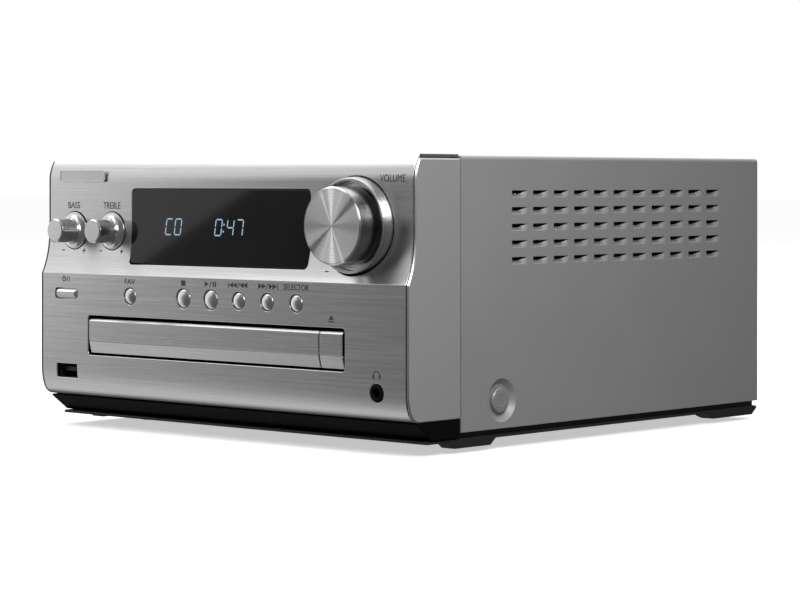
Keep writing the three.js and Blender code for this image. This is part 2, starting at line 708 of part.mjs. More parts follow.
const pinionPitch = (LOADING.pinionTeeth * LOADING.module) / 2;
const rackPitchX = trayX[0] + RACK.inset + RACK.width;
const loadingAt = [rackPitchX + pinionPitch, LOADING_Y];
const motorReach = ((LOADING.wheelTeeth + LOADING.motorTeeth) * LOADING.module) / 2;
const motorAt = [loadingAt[0] + motorReach, LOADING_Y];
const wheelBottom = LOADER.floorBottom + LOADER.floor + WHEEL.rise;
const wheelZ = [wheelBottom, wheelBottom + WHEEL.thickness];

function loadingGear() {
  const bore = LOADING_PIN + CLEARANCE;
  const wheel = alongZ(gearShape(LOADING.wheelTeeth, LOADING.module, 0, bore), wheelZ, loadingAt);
  const pinionZ = [wheelZ[1] - JOIN, TRAY.bottom - PIN_SPACE];
  const pinion = alongZ(gearShape(LOADING.pinionTeeth, LOADING.module, 0, bore), pinionZ, loadingAt);
  return wheel.add(pinion);
}

function motorPinion() {
  const phase = Math.PI / LOADING.motorTeeth;
  const shape = gearShape(LOADING.motorTeeth, LOADING.module, phase, MOTOR_SHAFT + CLEARANCE);
  return alongZ(shape, wheelZ, motorAt);
}

function loadingMotor() {
  const top = LOADER.floorBottom - CLEARANCE;
  const can = turnedZ(rod(LOADING_MOTOR.radius, [top - LOADING_MOTOR.height, top]), motorAt);
  return can.add(turnedZ(rod(MOTOR_SHAFT, [top - JOIN, wheelZ[1]]), motorAt));
}

// ---------------------------------------------------------------------------------------------
// Disc tray and loader. The rack under the tray runs out through the drawer opening with it.

const discY = TRAY_FRONT.back + CLEARANCE + POCKET.wall + DISC_RADIUS + POCKET.space;
const discAt = [TRAY_CENTRE, discY];
const trayTop = TRAY.bottom + TRAY.thickness;

function discTray() {
  const plate = box(trayX, [TRAY_FRONT.back + CLEARANCE, TRAY.back], [TRAY.bottom, trayTop]);
  const pocket = turnedZ(
    rod(DISC_RADIUS + POCKET.space, [trayTop - POCKET.depth, trayTop + 1]),
    discAt,
    KNOB_SEGMENTS,
  );
  const slotHalf = TRAY.slotWidth / 2;
  const slot = box(
    [TRAY_CENTRE - slotHalf, TRAY_CENTRE + slotHalf],
    [discY - TRAY.slotFront, TRAY.back + 1],
    [TRAY.bottom - 1, trayTop + 1],
  );
  const rackSpan = [LOADING_Y - RACK.margin, LOADING_Y + TRAY_TRAVEL + RACK.margin - 1];
  const rackFoot = rackPitchX - RACK.width;
  const rack = alongZ(
    rackShape(LOADING.module, rackPitchX, rackFoot, rackSpan, LOADING_Y),
    [DRAWER.bottom + CLEARANCE, TRAY.bottom + JOIN],
  );
  return without(plate, [pocket, slot]).add(rack);
}

const loaderInnerX = grow(trayX, LOADER_SPACE);
const loaderOuterX = grow(loaderInnerX, LOADER.wall);
const loaderFloorTop = LOADER.floorBottom + LOADER.floor;
const chassisTop = CHASSIS.bottom + CHASSIS.sheet;
const traverseX = [TRAY_CENTRE - TRAVERSE.halfWidth, TRAY_CENTRE + TRAVERSE.halfWidth];
const traverseTop = TRAVERSE.bottom + TRAVERSE.thickness;
const pivotZ = TRAVERSE.bottom + TRAVERSE.thickness / 2;
const traverseBack = TRAVERSE.pivotY + LUG.length / 2;

// Floor, side walls with ledges, four legs, a bridge over the spindle, and the pins.
function loaderFrame() {
  const long = [LOADER.front, LOADER.back];
  const floor = box(loaderOuterX, long, [LOADER.floorBottom, loaderFloorTop]);
  const bay = box(
    grow(traverseX, TRAVERSE.space),
    [TRAVERSE.front - TRAVERSE.space, traverseBack + TRAVERSE.space],
    [0, loaderFloorTop + 1],
  );
  const wallZ = [LOADER.floorBottom, LOADER.wallTop];
  const ledgeZ = [LOADER.floorBottom, TRAY.bottom - LOADER_SPACE];
  const bridgeY = [discY - BRIDGE.width / 2, discY + BRIDGE.width / 2];
  const bridgeTop = BRIDGE.bottom + BRIDGE.thickness;
  const sides = [0, 1].flatMap((i) => {
    const wallX = [loaderInnerX[i], loaderOuterX[i]].sort((a, b) => a - b);
    const ledgeEnd = loaderInnerX[i] + (i ? -LOADER.ledge : LOADER.ledge);
    const ledgeX = [loaderInnerX[i], ledgeEnd].sort((a, b) => a - b);
    const legs = [LOADER.front, LOADER.back - LOADER_LEG].map((y) =>
      box(
        grow([centre(wallX), centre(wallX)], LOADER_LEG / 2),
        [y, y + LOADER_LEG],
        [chassisTop + CLEARANCE, loaderFloorTop],
      ),
    );
    return [
      box(wallX, long, wallZ),
      box(ledgeX, long, ledgeZ),
      box(wallX, bridgeY, [LOADER.floorBottom, bridgeTop]),
      ...legs,
    ];
  });
  const bridge = box(loaderOuterX, bridgeY, [BRIDGE.bottom, bridgeTop]);
  const clamperHole = turnedZ(rod(CLAMPER.stem + 1, [BRIDGE.bottom - 1, bridgeTop + 1]), discAt);
  const post = turnedZ(rod(LOADING_PIN, [loaderFloorTop - JOIN, TRAY.bottom - PIN_SPACE]), loadingAt);
  const shaftHole = turnedZ(rod(MOTOR_SHAFT + CLEARANCE, [0, loaderFloorTop + CUT]), motorAt);
  const pivots = [-1, 1].flatMap((side) => {
    const edge = TRAY_CENTRE + side * (TRAVERSE.halfWidth + TRAVERSE.space);
    const blockX = [edge, edge + side * LUG.width].sort((a, b) => a - b);
    const pinX = [edge + side, edge - side * (TRAVERSE.space + LUG.width)].sort((a, b) => a - b);
    const blockY = grow([TRAVERSE.pivotY, TRAVERSE.pivotY], LUG.length / 2);
    return [
      box(blockX, blockY, [LOADER.floorBottom, pivotZ + LUG.rise]),
      turnedX(rod(PIVOT_RADIUS, pinX), [TRAVERSE.pivotY, pivotZ]),
    ];
  });
  const body = union([floor, ...sides]).subtract(bay);
  return without(union([body, bridge, post, ...pivots]), [clamperHole, shaftHole]);
}

function discClamper() {
  const top = BRIDGE.bottom + BRIDGE.thickness + CLEARANCE;
  return turnedZ(
    [
      [0, CLAMPER.bottom],
      [CLAMPER.radius, CLAMPER.bottom],
      [CLAMPER.radius, CLAMPER.bottom + CLAMPER.plate],
      [CLAMPER.stem, CLAMPER.bottom + CLAMPER.plate],
      [CLAMPER.stem, top],
      [CLAMPER.flange, top],
      [CLAMPER.flange, top + CLAMPER.flangeThickness],
      [0, top + CLAMPER.flangeThickness],
    ],
    discAt,
  );
}

const sledPitch = (SLED.teeth * SLED.module) / 2;
const sledRackX = TRAY_CENTRE + ROD.offset + ROD_BOSS.width - SLED.rackInset;
const sledAt = [sledRackX + sledPitch, SLED_Y];
const rodXs = [TRAY_CENTRE - ROD.offset, TRAY_CENTRE + ROD.offset];
const rodY = [TRAVERSE_BAY.front - 3, TRAVERSE_BAY.back + 3];
const sledZ = [PICKUP.bottom + SLED.rise, PICKUP.bottom + SLED.rise + SLED.thickness];

function rodHoles(span) {
  return rodXs.map((x) => turnedY(rod(ROD.radius + CLEARANCE, span), [x, ROD.z]));
}

// A steel plate with a bay for the pickup, blocks that hold the rods, and the pivot lugs.
function traversePlate() {
  const long = [TRAVERSE.front, traverseBack];
  const plate = box(traverseX, long, [TRAVERSE.bottom, traverseTop]);
  const bay = box(
    [TRAY_CENTRE - TRAVERSE_BAY.halfWidth, TRAY_CENTRE + TRAVERSE_BAY.halfWidth],
    [TRAVERSE_BAY.front, TRAVERSE_BAY.back],
    [0, ROD.z + 5],
  );
  const blocks = rodXs.flatMap((x) =>
    [TRAVERSE_BAY.front, TRAVERSE_BAY.back].map((y, i) =>
      box(
        grow([x, x], ROD_BLOCK.half),
        i ? [y, y + ROD_BLOCK.length] : [y - ROD_BLOCK.length, y],
        [TRAVERSE.bottom, ROD.z + 3],
      ),
    ),
  );
  const lugs = [-1, 1].map((side) => {
    const edge = TRAY_CENTRE + side * TRAVERSE.halfWidth;
    const lugX = [edge, edge - side * LUG.width].sort((a, b) => a - b);
    const lugY = grow([TRAVERSE.pivotY, TRAVERSE.pivotY], LUG.length / 2);
    return box(lugX, lugY, [pivotZ - LUG.rise, pivotZ + LUG.rise]);
  });
  const pinHole = turnedX(rod(PIVOT_RADIUS + CLEARANCE, grow(traverseX, 1)), [TRAVERSE.pivotY, pivotZ]);
  const pivotSlot = box(
    [traverseX[0] + LUG.width + 2, traverseX[1] - LUG.width - 2],
    [traverseBack - LUG.length - 0.5, traverseBack + 1],
    [0, ROD.z + 5],
  );
  const sledHole = turnedZ(rod(MOTOR_SHAFT * 2, [0, traverseTop + CUT]), sledAt);
  const spindleHole = turnedZ(rod(SPINDLE.shaft * 2.5, [0, traverseTop + CUT]), discAt);
  const body = union([plate.subtract(pivotSlot), ...blocks, ...lugs]);
  return without(body, [bay, pinHole, sledHole, spindleHole, ...rodHoles(grow(rodY, CLEARANCE))]);
}

function spindleMotor() {
  const bottom = traverseTop + CLEARANCE;
  const top = bottom + SPINDLE.motorHeight;
  const can = turnedZ(rod(SPINDLE.motorRadius, [bottom, top]), discAt);
  return can.add(turnedZ(rod(SPINDLE.shaft, [top - JOIN, SPINDLE.top - 1]), discAt));
}

function turntable() {
  const bottom = SPINDLE.top - SPINDLE.thickness;
  const bore = SPINDLE.shaft + CLEARANCE;
  const peak = SPINDLE.top + SPINDLE_CONE.height;
  return turnedZ(
    [
      [bore, bottom],
      [SPINDLE.radius, bottom],
      [SPINDLE.radius, SPINDLE.top],
      [SPINDLE_CONE.base, SPINDLE.top],
      [SPINDLE_CONE.tip, peak],
      [0, peak],
      [0, SPINDLE.top - 0.5],
      [bore, SPINDLE.top - 0.5],
      [bore, bottom],
    ],
    discAt,
  );
}

function opticalPickup() {
  const back = PICKUP.front + PICKUP.length;
  const top = PICKUP.bottom + PICKUP.height;
  const long = [PICKUP.front, back];
  const bodyX = [TRAY_CENTRE - PICKUP.halfWidth, TRAY_CENTRE + PICKUP.halfWidth];
  const body = box(bodyX, long, [PICKUP.bottom, top]);
  const lens = turnedZ(rod(PICKUP.lens, [top - 1, top + 1]), [TRAY_CENTRE, PICKUP.front + 8]);
  const bossY = [PICKUP.front + 2, PICKUP.front + 2 + ROD_BOSS.length];
  const bosses = [-1, 1].map((side) => {
    const near = TRAY_CENTRE + side * (PICKUP.halfWidth - 1);
    const far = TRAY_CENTRE + side * (PICKUP.halfWidth + ROD_BOSS.width);
    const z1 = PICKUP.bottom + ROD_BOSS.height;
    return box([near, far].sort((a, b) => a - b), bossY, [PICKUP.bottom, z1]);
  });
  const rackSpan = [SLED_Y - PICKUP_TRAVEL - 5, SLED_Y + 5];
  const teeth = rackShape(SLED.module, sledRackX, sledRackX - SLED.rackDepth, rackSpan, SLED_Y);
  const rack = alongZ(teeth, sledZ);
  return without(union([body, lens, ...bosses, rack]), rodHoles(grow(rodY, 2)));
}

function sledGear() {
  return alongZ(gearShape(SLED.teeth, SLED.module, 0, MOTOR_SHAFT + CLEARANCE), sledZ, sledAt);
}

function sledMotor() {
  const top = TRAVERSE.bottom - CLEARANCE;
  const can = turnedZ(rod(SLED_MOTOR.radius, [top - SLED_MOTOR.height, top]), sledAt);
  return can.add(turnedZ(rod(MOTOR_SHAFT, [top - JOIN, sledZ[1] - CLEARANCE]), sledAt));
}

// ---------------------------------------------------------------------------------------------
// Shell, feet and screws

// A pressed dish in the side wall: its bulge inside, and what is cut away outside.
function dishParts(side) {
  const out = side * RIGHT;
  const floor = out - side * DISH.depth;
  const inside = floor - side * COVER.sheet;
  const bulge = [[0, inside], [DISH.floorRadius + 0.8, inside], [DISH.radius + 1, out - side * 0.5]];
  const cut = [[0, floor], [DISH.floorRadius, floor], [DISH.radius, out], [DISH.radius, out + side]];
  return {
    bulge: turnedX([...bulge, [0, out - side * 0.5]], [DISH.y, DISH.z]),
    cut: turnedX([...cut, [0, out + side]], [DISH.y, DISH.z]),
  };
}

function topCover() {
  const top = HEIGHT - COVER.topDrop;
  const front = HEAD_DEPTH + CLEARANCE;
  const outer = roundedTop([LEFT, RIGHT], [COVER.bottom, top], COVER.corner);
  const innerX = grow([LEFT, RIGHT], -COVER.sheet);
  const inner = roundedTop(innerX, [COVER.bottom - 1, top - COVER.sheet], COVER.corner - COVER.sheet);
  const shell = alongY(outer, [front, COVER_BACK]).subtract(
    alongY(inner, [front - 1, COVER_BACK - COVER.sheet]),
  );
  const mouth = box(
    grow([LEFT, RIGHT], -COVER.flange),
    [COVER_BACK - 5, COVER_BACK + 1],
    [0, top - COVER.flange],
  );
  const dishes = [-1, 1].map(dishParts);
  const slots = [];
  for (let column = 0; column < LOUVRE.columns; column += 1) {
    for (let row = 0; row < LOUVRE.rows; row += 1) {
      const y = LOUVRE.first + column * LOUVRE.pitch;
      const z = HEIGHT - LOUVRE.topDrop - row * LOUVRE.rise;
      slots.push(
        box(
          [LEFT - 1, RIGHT + 1],
          [y, y + LOUVRE_SLOT.length],
          [z - LOUVRE_SLOT.height, z],
        ),
      );
    }
  }
  const screwHole = turnedX(rod(SCREW.shank + CLEARANCE, [LEFT - 1, RIGHT + 1]), [DISH.y, DISH.z]);
  const solid = union([shell.subtract(mouth), ...dishes.map(({ bulge }) => bulge)]);
  return without(solid, [...dishes.map(({ cut }) => cut), screwHole, union(slots)]);
}

// A rectangle whose two upper corners are rounded.
function roundedTop([u0, u1], [v0, v1], r) {
  const shape = new THREE.Shape();
  shape.moveTo(u0, v0);
  shape.lineTo(u1, v0);
  shape.lineTo(u1, v1 - r);
  shape.absarc(u1 - r, v1 - r, r, 0, Math.PI / 2);
  shape.lineTo(u0 + r, v1);
  shape.absarc(u0 + r, v1 - r, r, Math.PI / 2, Math.PI);
  return shape;
}

// One lowered pad, as a wedge-ended block that is grown inwards by a sheet's thickness.
function padBlock(side, { front, back }, inset) {
  const z1 = CHASSIS.bottom + (inset ? CHASSIS.sheet + 1 : 0.4);
  const z0 = CHASSIS.bottom - PAD.drop + inset;
  const section = polygon([
    [front + inset, z0],
    [back - inset, z0],
    [back + PAD.slope - inset, CHASSIS.bottom],
    [back + PAD.slope - inset, z1],
    [front - PAD.slope + inset, z1],
    [front - PAD.slope + inset, CHASSIS.bottom],
  ]);
  const edge = RIGHT - CHASSIS.inset;
  return alongX(section, onSide(side, [edge - PAD.width + inset, edge - inset]));
}

function bottomChassis() {
  const edge = RIGHT - CHASSIS.inset;
  const back = COVER_BACK - COVER.sheet - CLEARANCE;
  const floor = box([-edge, edge], [CHASSIS.front, back], [CHASSIS.bottom, chassisTop]);
  const pads = [-1, 1].flatMap((side) => [FRONT_PAD, REAR_PAD].map((pad) => [side, pad]));
  const outer = RIGHT - CHASSIS.flangeInset;
  const flanges = [-1, 1].map((side) =>
    box(
      onSide(side, [outer - CHASSIS.sheet, outer]),
      [HEAD_DEPTH + CLEARANCE, back],
      [CHASSIS.bottom, CHASSIS.flangeTop],
    ),
  );
  const solid = union([floor, ...flanges, ...pads.map(([side, pad]) => padBlock(side, pad, 0))]);
  const screwHole = turnedX(rod(SCREW.shank + CLEARANCE, [LEFT - 1, RIGHT + 1]), [DISH.y, DISH.z]);
  const hollows = pads.map(([side, pad]) => padBlock(side, pad, CHASSIS.sheet));
  const flangeFeet = [-1, 1].map((side) =>
    box(onSide(side, [outer - CHASSIS.sheet, outer]), [HEAD_DEPTH + CLEARANCE, back], [
      CHASSIS.bottom,
      CHASSIS.bottom + CHASSIS.sheet + 2,
    ]),
  );
  return without(solid, [...hollows, screwHole]).add(union(flangeFeet));
}

function rearPanel() {
  const edge = RIGHT - REAR_PANEL.inset;
  const zs = [REAR_PANEL.bottom, HEIGHT - REAR_PANEL.topDrop];
  const ys = [BODY_DEPTH - REAR_PANEL.thickness, BODY_DEPTH];
  const through = [ys[0] - 1, ys[1] + 1];
  const half = { w: INLET.width / 2 - INLET.flange, h: INLET.height / 2 - INLET.flange };
  return without(box([-edge, edge], ys, zs), [
    box(
      [INLET.x - half.w - CLEARANCE, INLET.x + half.w + CLEARANCE],
      through,
      [INLET.z - half.h - CLEARANCE, INLET.z + half.h + CLEARANCE],
    ),
  ]);
}

function foot(side, y) {
  const top = CHASSIS.bottom - PAD.drop - CLEARANCE;
  return turnedZ(
    [[0, 0], [FOOT.sole, 0], [FOOT.top, top * 0.7], [FOOT.top, top], [0, top]],
    [side * (RIGHT - FOOT.inset), y],
  );
}

function sideScrew(side) {
  const seat = side * (RIGHT - DISH.depth + CLEARANCE);
  const profile = [
    [0, seat + side * SCREW.head],
    [SCREW.radius * 0.75, seat + side * SCREW.head * 0.9],
    [SCREW.radius, seat + side * SCREW.head * 0.4],
    [SCREW.radius, seat],
    [SCREW.shank, seat],
    [SCREW.shank, seat - side * SCREW.length],
    [0, seat - side * SCREW.length],
  ];
  return turnedX(profile, [DISH.y, DISH.z]);
}

// ---------------------------------------------------------------------------------------------
// Electronics and sockets

function mainBoard() {
  const half = RIGHT - MAIN_BOARD.side;
  const top = MAIN_BOARD.z + MAIN_BOARD.thickness;
  const board = box([-half, half], MAIN_BOARD_Y, [MAIN_BOARD.z, top]);
  const y = centre(MAIN_BOARD_Y);
  const cans = [0, 1].map((i) => {
    const x = TRANSFORMER.x + TRANSFORMER.width / 2 + CAPACITOR.offset * (1 + i * 1.3);
    return turnedZ(rod(CAPACITOR.radius, [top - 0.5, top + CAPACITOR.height]), [x, y]);
  });
  return union([board, ...cans]);
}

function transformer() {
  const bottom = MAIN_BOARD.z + MAIN_BOARD.thickness + CLEARANCE;
  const y = centre(MAIN_BOARD_Y);
  const { width: w, depth: d, height: h, x } = TRANSFORMER;
  const core = box([x - w / 2, x + w / 2], [y - d / 4, y + d / 4], [bottom, bottom + h]);
  const winding = box([x - w / 3, x + w / 3], [y - d / 2, y + d / 2], [bottom + h / 5, bottom + h * 0.8]);
  return core.add(winding);
}

function heatsink() {
  const outer = RIGHT - CHASSIS.flangeInset - CHASSIS.sheet - 2;
  const zs = [HEATSINK.bottom, HEATSINK.bottom + HEATSINK.height];
  const back = HEATSINK.front + HEATSINK.length;
  const base = box([outer - HEATSINK.base, outer], [HEATSINK.front, back], zs);
  const step = (HEATSINK.length - HEATSINK.fin) / (HEATSINK.fins - 1);
  const fins = Array.from({ length: HEATSINK.fins }, (_, i) => {
    const y = HEATSINK.front + i * step;
    return box([outer - HEATSINK.reach, outer - 1], [y, y + HEATSINK.fin], zs);
  });
  return union([base, ...fins]);
}

function mainsInlet() {
  const { x, z } = INLET;
  const [w, h] = [INLET.width / 2, INLET.height / 2];
  const face = BODY_DEPTH + CLEARANCE + INLET.flange;
  const front = BODY_DEPTH - INLET.depth;
  const flange = alongY(roundedRectangle([x - w, x + w], [z - h, z + h], 2), [
    BODY_DEPTH + CLEARANCE,
    face,
  ]);
  const bodyX = [x - w + INLET.flange, x + w - INLET.flange];
  const bodyZ = [z - h + INLET.flange, z + h - INLET.flange];
  const body = box(bodyX, [front, BODY_DEPTH + CLEARANCE + 0.5], bodyZ);
  const wellX = grow(bodyX, -1);
  const well = box(wellX, [front + 2, face + 1], grow(bodyZ, -1));
  const pins = [-1, 1].map((side) =>
    turnedY(rod(INLET_PIN.radius, [front + 1, face - 2]), [x + (side * INLET_PIN.spacing) / 2, z]),
  );
  return union([flange.add(body).subtract(well), ...pins]);
}

const studXs = [0, 1, 2, 3].map((i) => TERMINALS.x + (i - 1.5) * TERMINALS.pitch);
const terminalFace = BODY_DEPTH + CLEARANCE + TERMINALS.thickness;
const postEnd = BODY_DEPTH + POST_REACH;

function terminalBlock() {
  const w = TERMINALS.width / 2;
  const h = TERMINALS.height / 2;
  const plateX = [TERMINALS.x - w, TERMINALS.x + w];
  const plate = roundedRectangle(plateX, [TERMINALS.z - h, TERMINALS.z + h], 3);
  const base = alongY(plate, [BODY_DEPTH + CLEARANCE, terminalFace]);
  const studs = studXs.map((x) =>
    turnedY(rod(TERMINALS.stud, [terminalFace - 1, postEnd - 3]), [x, TERMINALS.z]),
  );
  return union([base, ...studs]);
}

function postCap(x) {
  const front = postEnd - CAP.length;
  const bore = TERMINALS.stud + CLEARANCE;
  return turnedY(
    [
      [bore, front],
      [CAP.radius - 1, front],
      [CAP.radius, front + 1],
      [CAP.radius, postEnd - 1],
      [CAP.radius - 1, postEnd],
      [0, postEnd],
      [0, postEnd - 2],
      [bore, postEnd - 2],
      [bore, front],
    ],
    [x, TERMINALS.z],
    CAP.flats,
  );
}

// Two line sockets and the aerial socket on one moulded block
function rearSockets() {
  const w = SOCKETS.width / 2;
  const h = SOCKETS.height / 2;
  const shape = roundedRectangle([SOCKETS.x - w, SOCKETS.x + w], [SOCKETS.z - h, SOCKETS.z + h], 2);
  const face = BODY_DEPTH + CLEARANCE + SOCKETS.thickness;
  const block = alongY(shape, [BODY_DEPTH + CLEARANCE, face]);
  const places = [-1, 0, 1].map((i) => [SOCKETS.x + i * SOCKETS.pitch, SOCKETS.z]);
  const end = face + SOCKETS.reach;
  const barrels = places.map((at) => turnedY(rod(BARREL.radius, [face - JOIN, end]), at));
  const bores = places.map((at) => turnedY(rod(BARREL.bore, [face, end + CUT]), at));
  return without(union([block, ...barrels]), bores);
}

function usbSocket() {
  const front = PANEL_SHEET + USB.setBack;
  const cavityX = grow(usbX, -0.3);
  const cavityZ = grow(usbZ, -0.3);
  const shell = box(grow(usbX, USB.shell), [front, USB.back], grow(usbZ, USB.shell));
  const cavity = box(cavityX, [front - 1, USB.back - 1], cavityZ);
  const tongueZ = [cavityZ[1] - 1 - USB_TONGUE.thickness, cavityZ[1] - 1];
  const tongue = box(grow(cavityX, -0.8), [USB_TONGUE.front, USB.back - 0.5], tongueZ);
  return shell.subtract(cavity).add(tongue);
}

function headphoneJack() {
  const { radius: r, bore, back, proud } = JACK;
  return turnedY(
    [
      [bore, -proud],
      [r, -proud],
      [r, back],
      [0, back],
      [0, back - 1.5],
      [bore, back - 1.5],
      [bore, -proud],
    ],
    jackAt,
  );
}

// ---------------------------------------------------------------------------------------------
// The pieces

piece('front_panel', frontPanel(), brushedMetal);
piece('cheek_left', cheek(-1), greyPaint);
piece('cheek_right', cheek(1), greyPaint);
piece('plinth', plinth(), blackPlastic);
piece('fascia_frame', fasciaFrame(), blackPlastic);
piece('display_window', displayWindow(), glossBlack);
piece('display_module', displayModule(), darkPlastic);
piece('front_board', frontBoard(), boardGreen);
piece('name_plate', namePlate(), spunMetal);

piece('volume_knob', volumeKnob(), spunMetal);
piece('volume_collar', volumeCollar(), spunMetal);
piece('volume_encoder', controlBody(volumeAt, SHAFT_RADIUS, -2), bareMetal);
piece('bass_knob', toneKnob(bassAt), spunMetal);
piece('bass_pot', controlBody(bassAt, SHAFT_RADIUS - 1, -2), bareMetal);
piece('treble_knob', toneKnob(trebleAt), spunMetal);
piece('treble_pot', controlBody(trebleAt, SHAFT_RADIUS - 1, -2), bareMetal);

for (const button of roundButtons) {
  piece(button.name, roundButton(button), spunMetal);
}
piece('standby_button', standbyButton(), spunMetal);
piece('eject_button', ejectButton(), brushedMetal);

piece('tray_front', alongX(drawerSection(), trayFrontX), brushedMetal);
piece('disc_tray', discTray(), blackPlastic);
piece('loader_frame', loaderFrame(), darkPlastic);
piece('loading_gear', loadingGear(), whitePlastic);
piece('motor_pinion', motorPinion(), whitePlastic);
piece('loading_motor', loadingMotor(), bareMetal);
piece('disc_clamper', discClamper(), darkPlastic);
piece('traverse_plate', traversePlate(), bareMetal);
piece('spindle_motor', spindleMotor(), bareMetal);
piece('turntable', turntable(), darkPlastic);
piece('optical_pickup', opticalPickup(), darkPlastic);
['guide_rod_left', 'guide_rod_right'].forEach((name, i) => {
  piece(name, turnedY(rod(ROD.radius, rodY), [rodXs[i], ROD.z]), bareMetal);
});
piece('sled_gear', sledGear(), whitePlastic);
piece('sled_motor', sledMotor(), bareMetal);

piece('top_cover', topCover(), greyPaint);
piece('bottom_chassis', bottomChassis(), blackSteel);
piece('rear_panel', rearPanel(), blackSteel);
piece('side_screw_left', sideScrew(-1), greyPaint);
piece('side_screw_right', sideScrew(1), greyPaint);
for (const [name, side, y] of [
  ['foot_front_left', -1, FOOT.frontY],
  ['foot_front_right', 1, FOOT.frontY],
  ['foot_rear_left', -1, FOOT.rearY],
  ['foot_rear_right', 1, FOOT.rearY],
]) {
  piece(name, foot(side, y), rubber);
}

piece('main_board', mainBoard(), boardGreen);
piece('transformer', transformer(), bareMetal);
piece('heatsink', heatsink(), blackSteel);
piece('mains_inlet', mainsInlet(), blackPlastic);
piece('terminal_block', terminalBlock(), blackPlastic);
studXs.forEach((x, i) => piece(`post_cap_${i + 1}`, postCap(x), darkPlastic));
piece('rear_sockets', rearSockets(), blackPlastic);
piece('usb_socket', usbSocket(), bareMetal);
piece('headphone_jack', headphoneJack(), blackPlastic);

receiver.position.y = (KNOB_REACH - BODY_DEPTH - POST_REACH) / 2;
receiver.updateMatrixWorld(true);

export default receiver;
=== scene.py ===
"""A compact disc receiver, finished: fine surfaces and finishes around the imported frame.

Lengths are millimetres in the frame's own axes; the mesh maker turns them into metres.
"""

import math

import bpy
import numpy as np
from mathutils import Matrix, Vector
from mathutils.geometry import delaunay_2d_cdt


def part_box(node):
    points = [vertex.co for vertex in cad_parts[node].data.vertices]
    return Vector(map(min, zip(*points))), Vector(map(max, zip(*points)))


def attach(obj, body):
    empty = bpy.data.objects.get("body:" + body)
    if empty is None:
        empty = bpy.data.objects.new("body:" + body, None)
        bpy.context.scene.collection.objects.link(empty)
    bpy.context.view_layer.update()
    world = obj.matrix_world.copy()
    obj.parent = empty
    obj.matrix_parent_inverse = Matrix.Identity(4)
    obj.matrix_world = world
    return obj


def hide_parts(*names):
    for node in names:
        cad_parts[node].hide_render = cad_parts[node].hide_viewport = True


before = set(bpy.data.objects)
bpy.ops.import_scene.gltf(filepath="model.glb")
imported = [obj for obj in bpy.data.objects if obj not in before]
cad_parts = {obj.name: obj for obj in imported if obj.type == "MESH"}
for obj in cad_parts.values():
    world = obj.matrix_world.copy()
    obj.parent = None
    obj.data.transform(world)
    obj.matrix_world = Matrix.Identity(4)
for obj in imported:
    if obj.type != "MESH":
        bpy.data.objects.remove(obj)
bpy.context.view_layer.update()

MM = 0.001
WELD = 1e-4
WELD_SHIFT = 0.37e-4
PRINT_RISE = 0.02
PRINT_DEPTH = 0.05


# --- Mesh making


def span(node):
    """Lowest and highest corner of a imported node, in millimetres."""
    low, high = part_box(node)
    return np.array(low) / MM, np.array(high) / MM


def unit(vectors):
    """Each vector divided by its length."""
    lengths = np.linalg.norm(vectors, axis=-1, keepdims=True)
    return vectors / np.maximum(lengths, 1e-12)


class Shell:
    """Faces gathered for one piece. Each face has four corners and a normal at each corner;
    a triangle repeats its last corner."""

    def __init__(self):
        self.corners = []
        self.normals = []

    def add(self, corners, normals):
        """Keeps faces, each turned round if its corners run against its normals."""
        corners = np.asarray(corners, float).reshape(-1, 4, 3)
        normals = np.asarray(normals, float).reshape(-1, 4, 3)
        facing = np.cross(corners[:, 2] - corners[:, 0], corners[:, 3] - corners[:, 1])
        inward = np.einsum("ij,ij->i", facing, normals.sum(1)) < 0
        corners = np.where(inward[:, None, None], corners[:, ::-1], corners)
        normals = np.where(inward[:, None, None], normals[:, ::-1], normals)
        self.corners.append(corners)
        self.normals.append(normals)

    def grid(self, points, normals):
        """A grid of points (rows, columns, 3) becomes one face between each four neighbours."""
        ring = [np.s_[:-1, :-1], np.s_[1:, :-1], np.s_[1:, 1:], np.s_[:-1, 1:]]
        self.add(
            np.stack([points[s] for s in ring], 2), np.stack([normals[s] for s in ring], 2)
        )

    def mesh(self, name):
        """Welds corners that round to one place, drops what has no area, and keeps the normals."""
        corners = np.concatenate(self.corners)
        normals = np.concatenate(self.normals)
        keys = np.round((corners.reshape(-1, 3) + WELD_SHIFT) / WELD).astype(np.int64)
        _, first, index = np.unique(keys, axis=0, return_index=True, return_inverse=True)
        points = corners.reshape(-1, 3)[first]
        index = index.reshape(-1, 4)
        same = index == np.roll(index, -1, axis=1)
        crossed = (index[:, 0] == index[:, 2]) | (index[:, 1] == index[:, 3])
        quads = ~same.any(1) & ~crossed
        faces = [index[quads]]
        kept = [normals[quads]]
        for k in range(4):
            others = [i for i in range(4) if i != k]
            chosen = same[:, k] & (same.sum(1) == 1)
            faces.append(index[chosen][:, others])
            kept.append(normals[chosen][:, others])
        loops = np.concatenate([f.ravel() for f in faces])
        totals = np.concatenate([np.full(len(f), f.shape[1]) for f in faces])
        made = bpy.data.meshes.new(name)
        made.vertices.add(len(points))
        made.vertices.foreach_set("co", (points * MM).astype(np.float32).ravel())
        made.loops.add(len(loops))
        made.loops.foreach_set("vertex_index", loops.astype(np.int32))
        made.polygons.add(len(totals))
        starts = np.concatenate([[0], np.cumsum(totals)[:-1]])
        made.polygons.foreach_set("loop_start", starts.astype(np.int32))
        made.polygons.foreach_set("loop_total", totals.astype(np.int32))
        made.update(calc_edges=True)
        made.shade_smooth()
        made.normals_split_custom_set(unit(np.concatenate([n.reshape(-1, 3) for n in kept])))
        return made


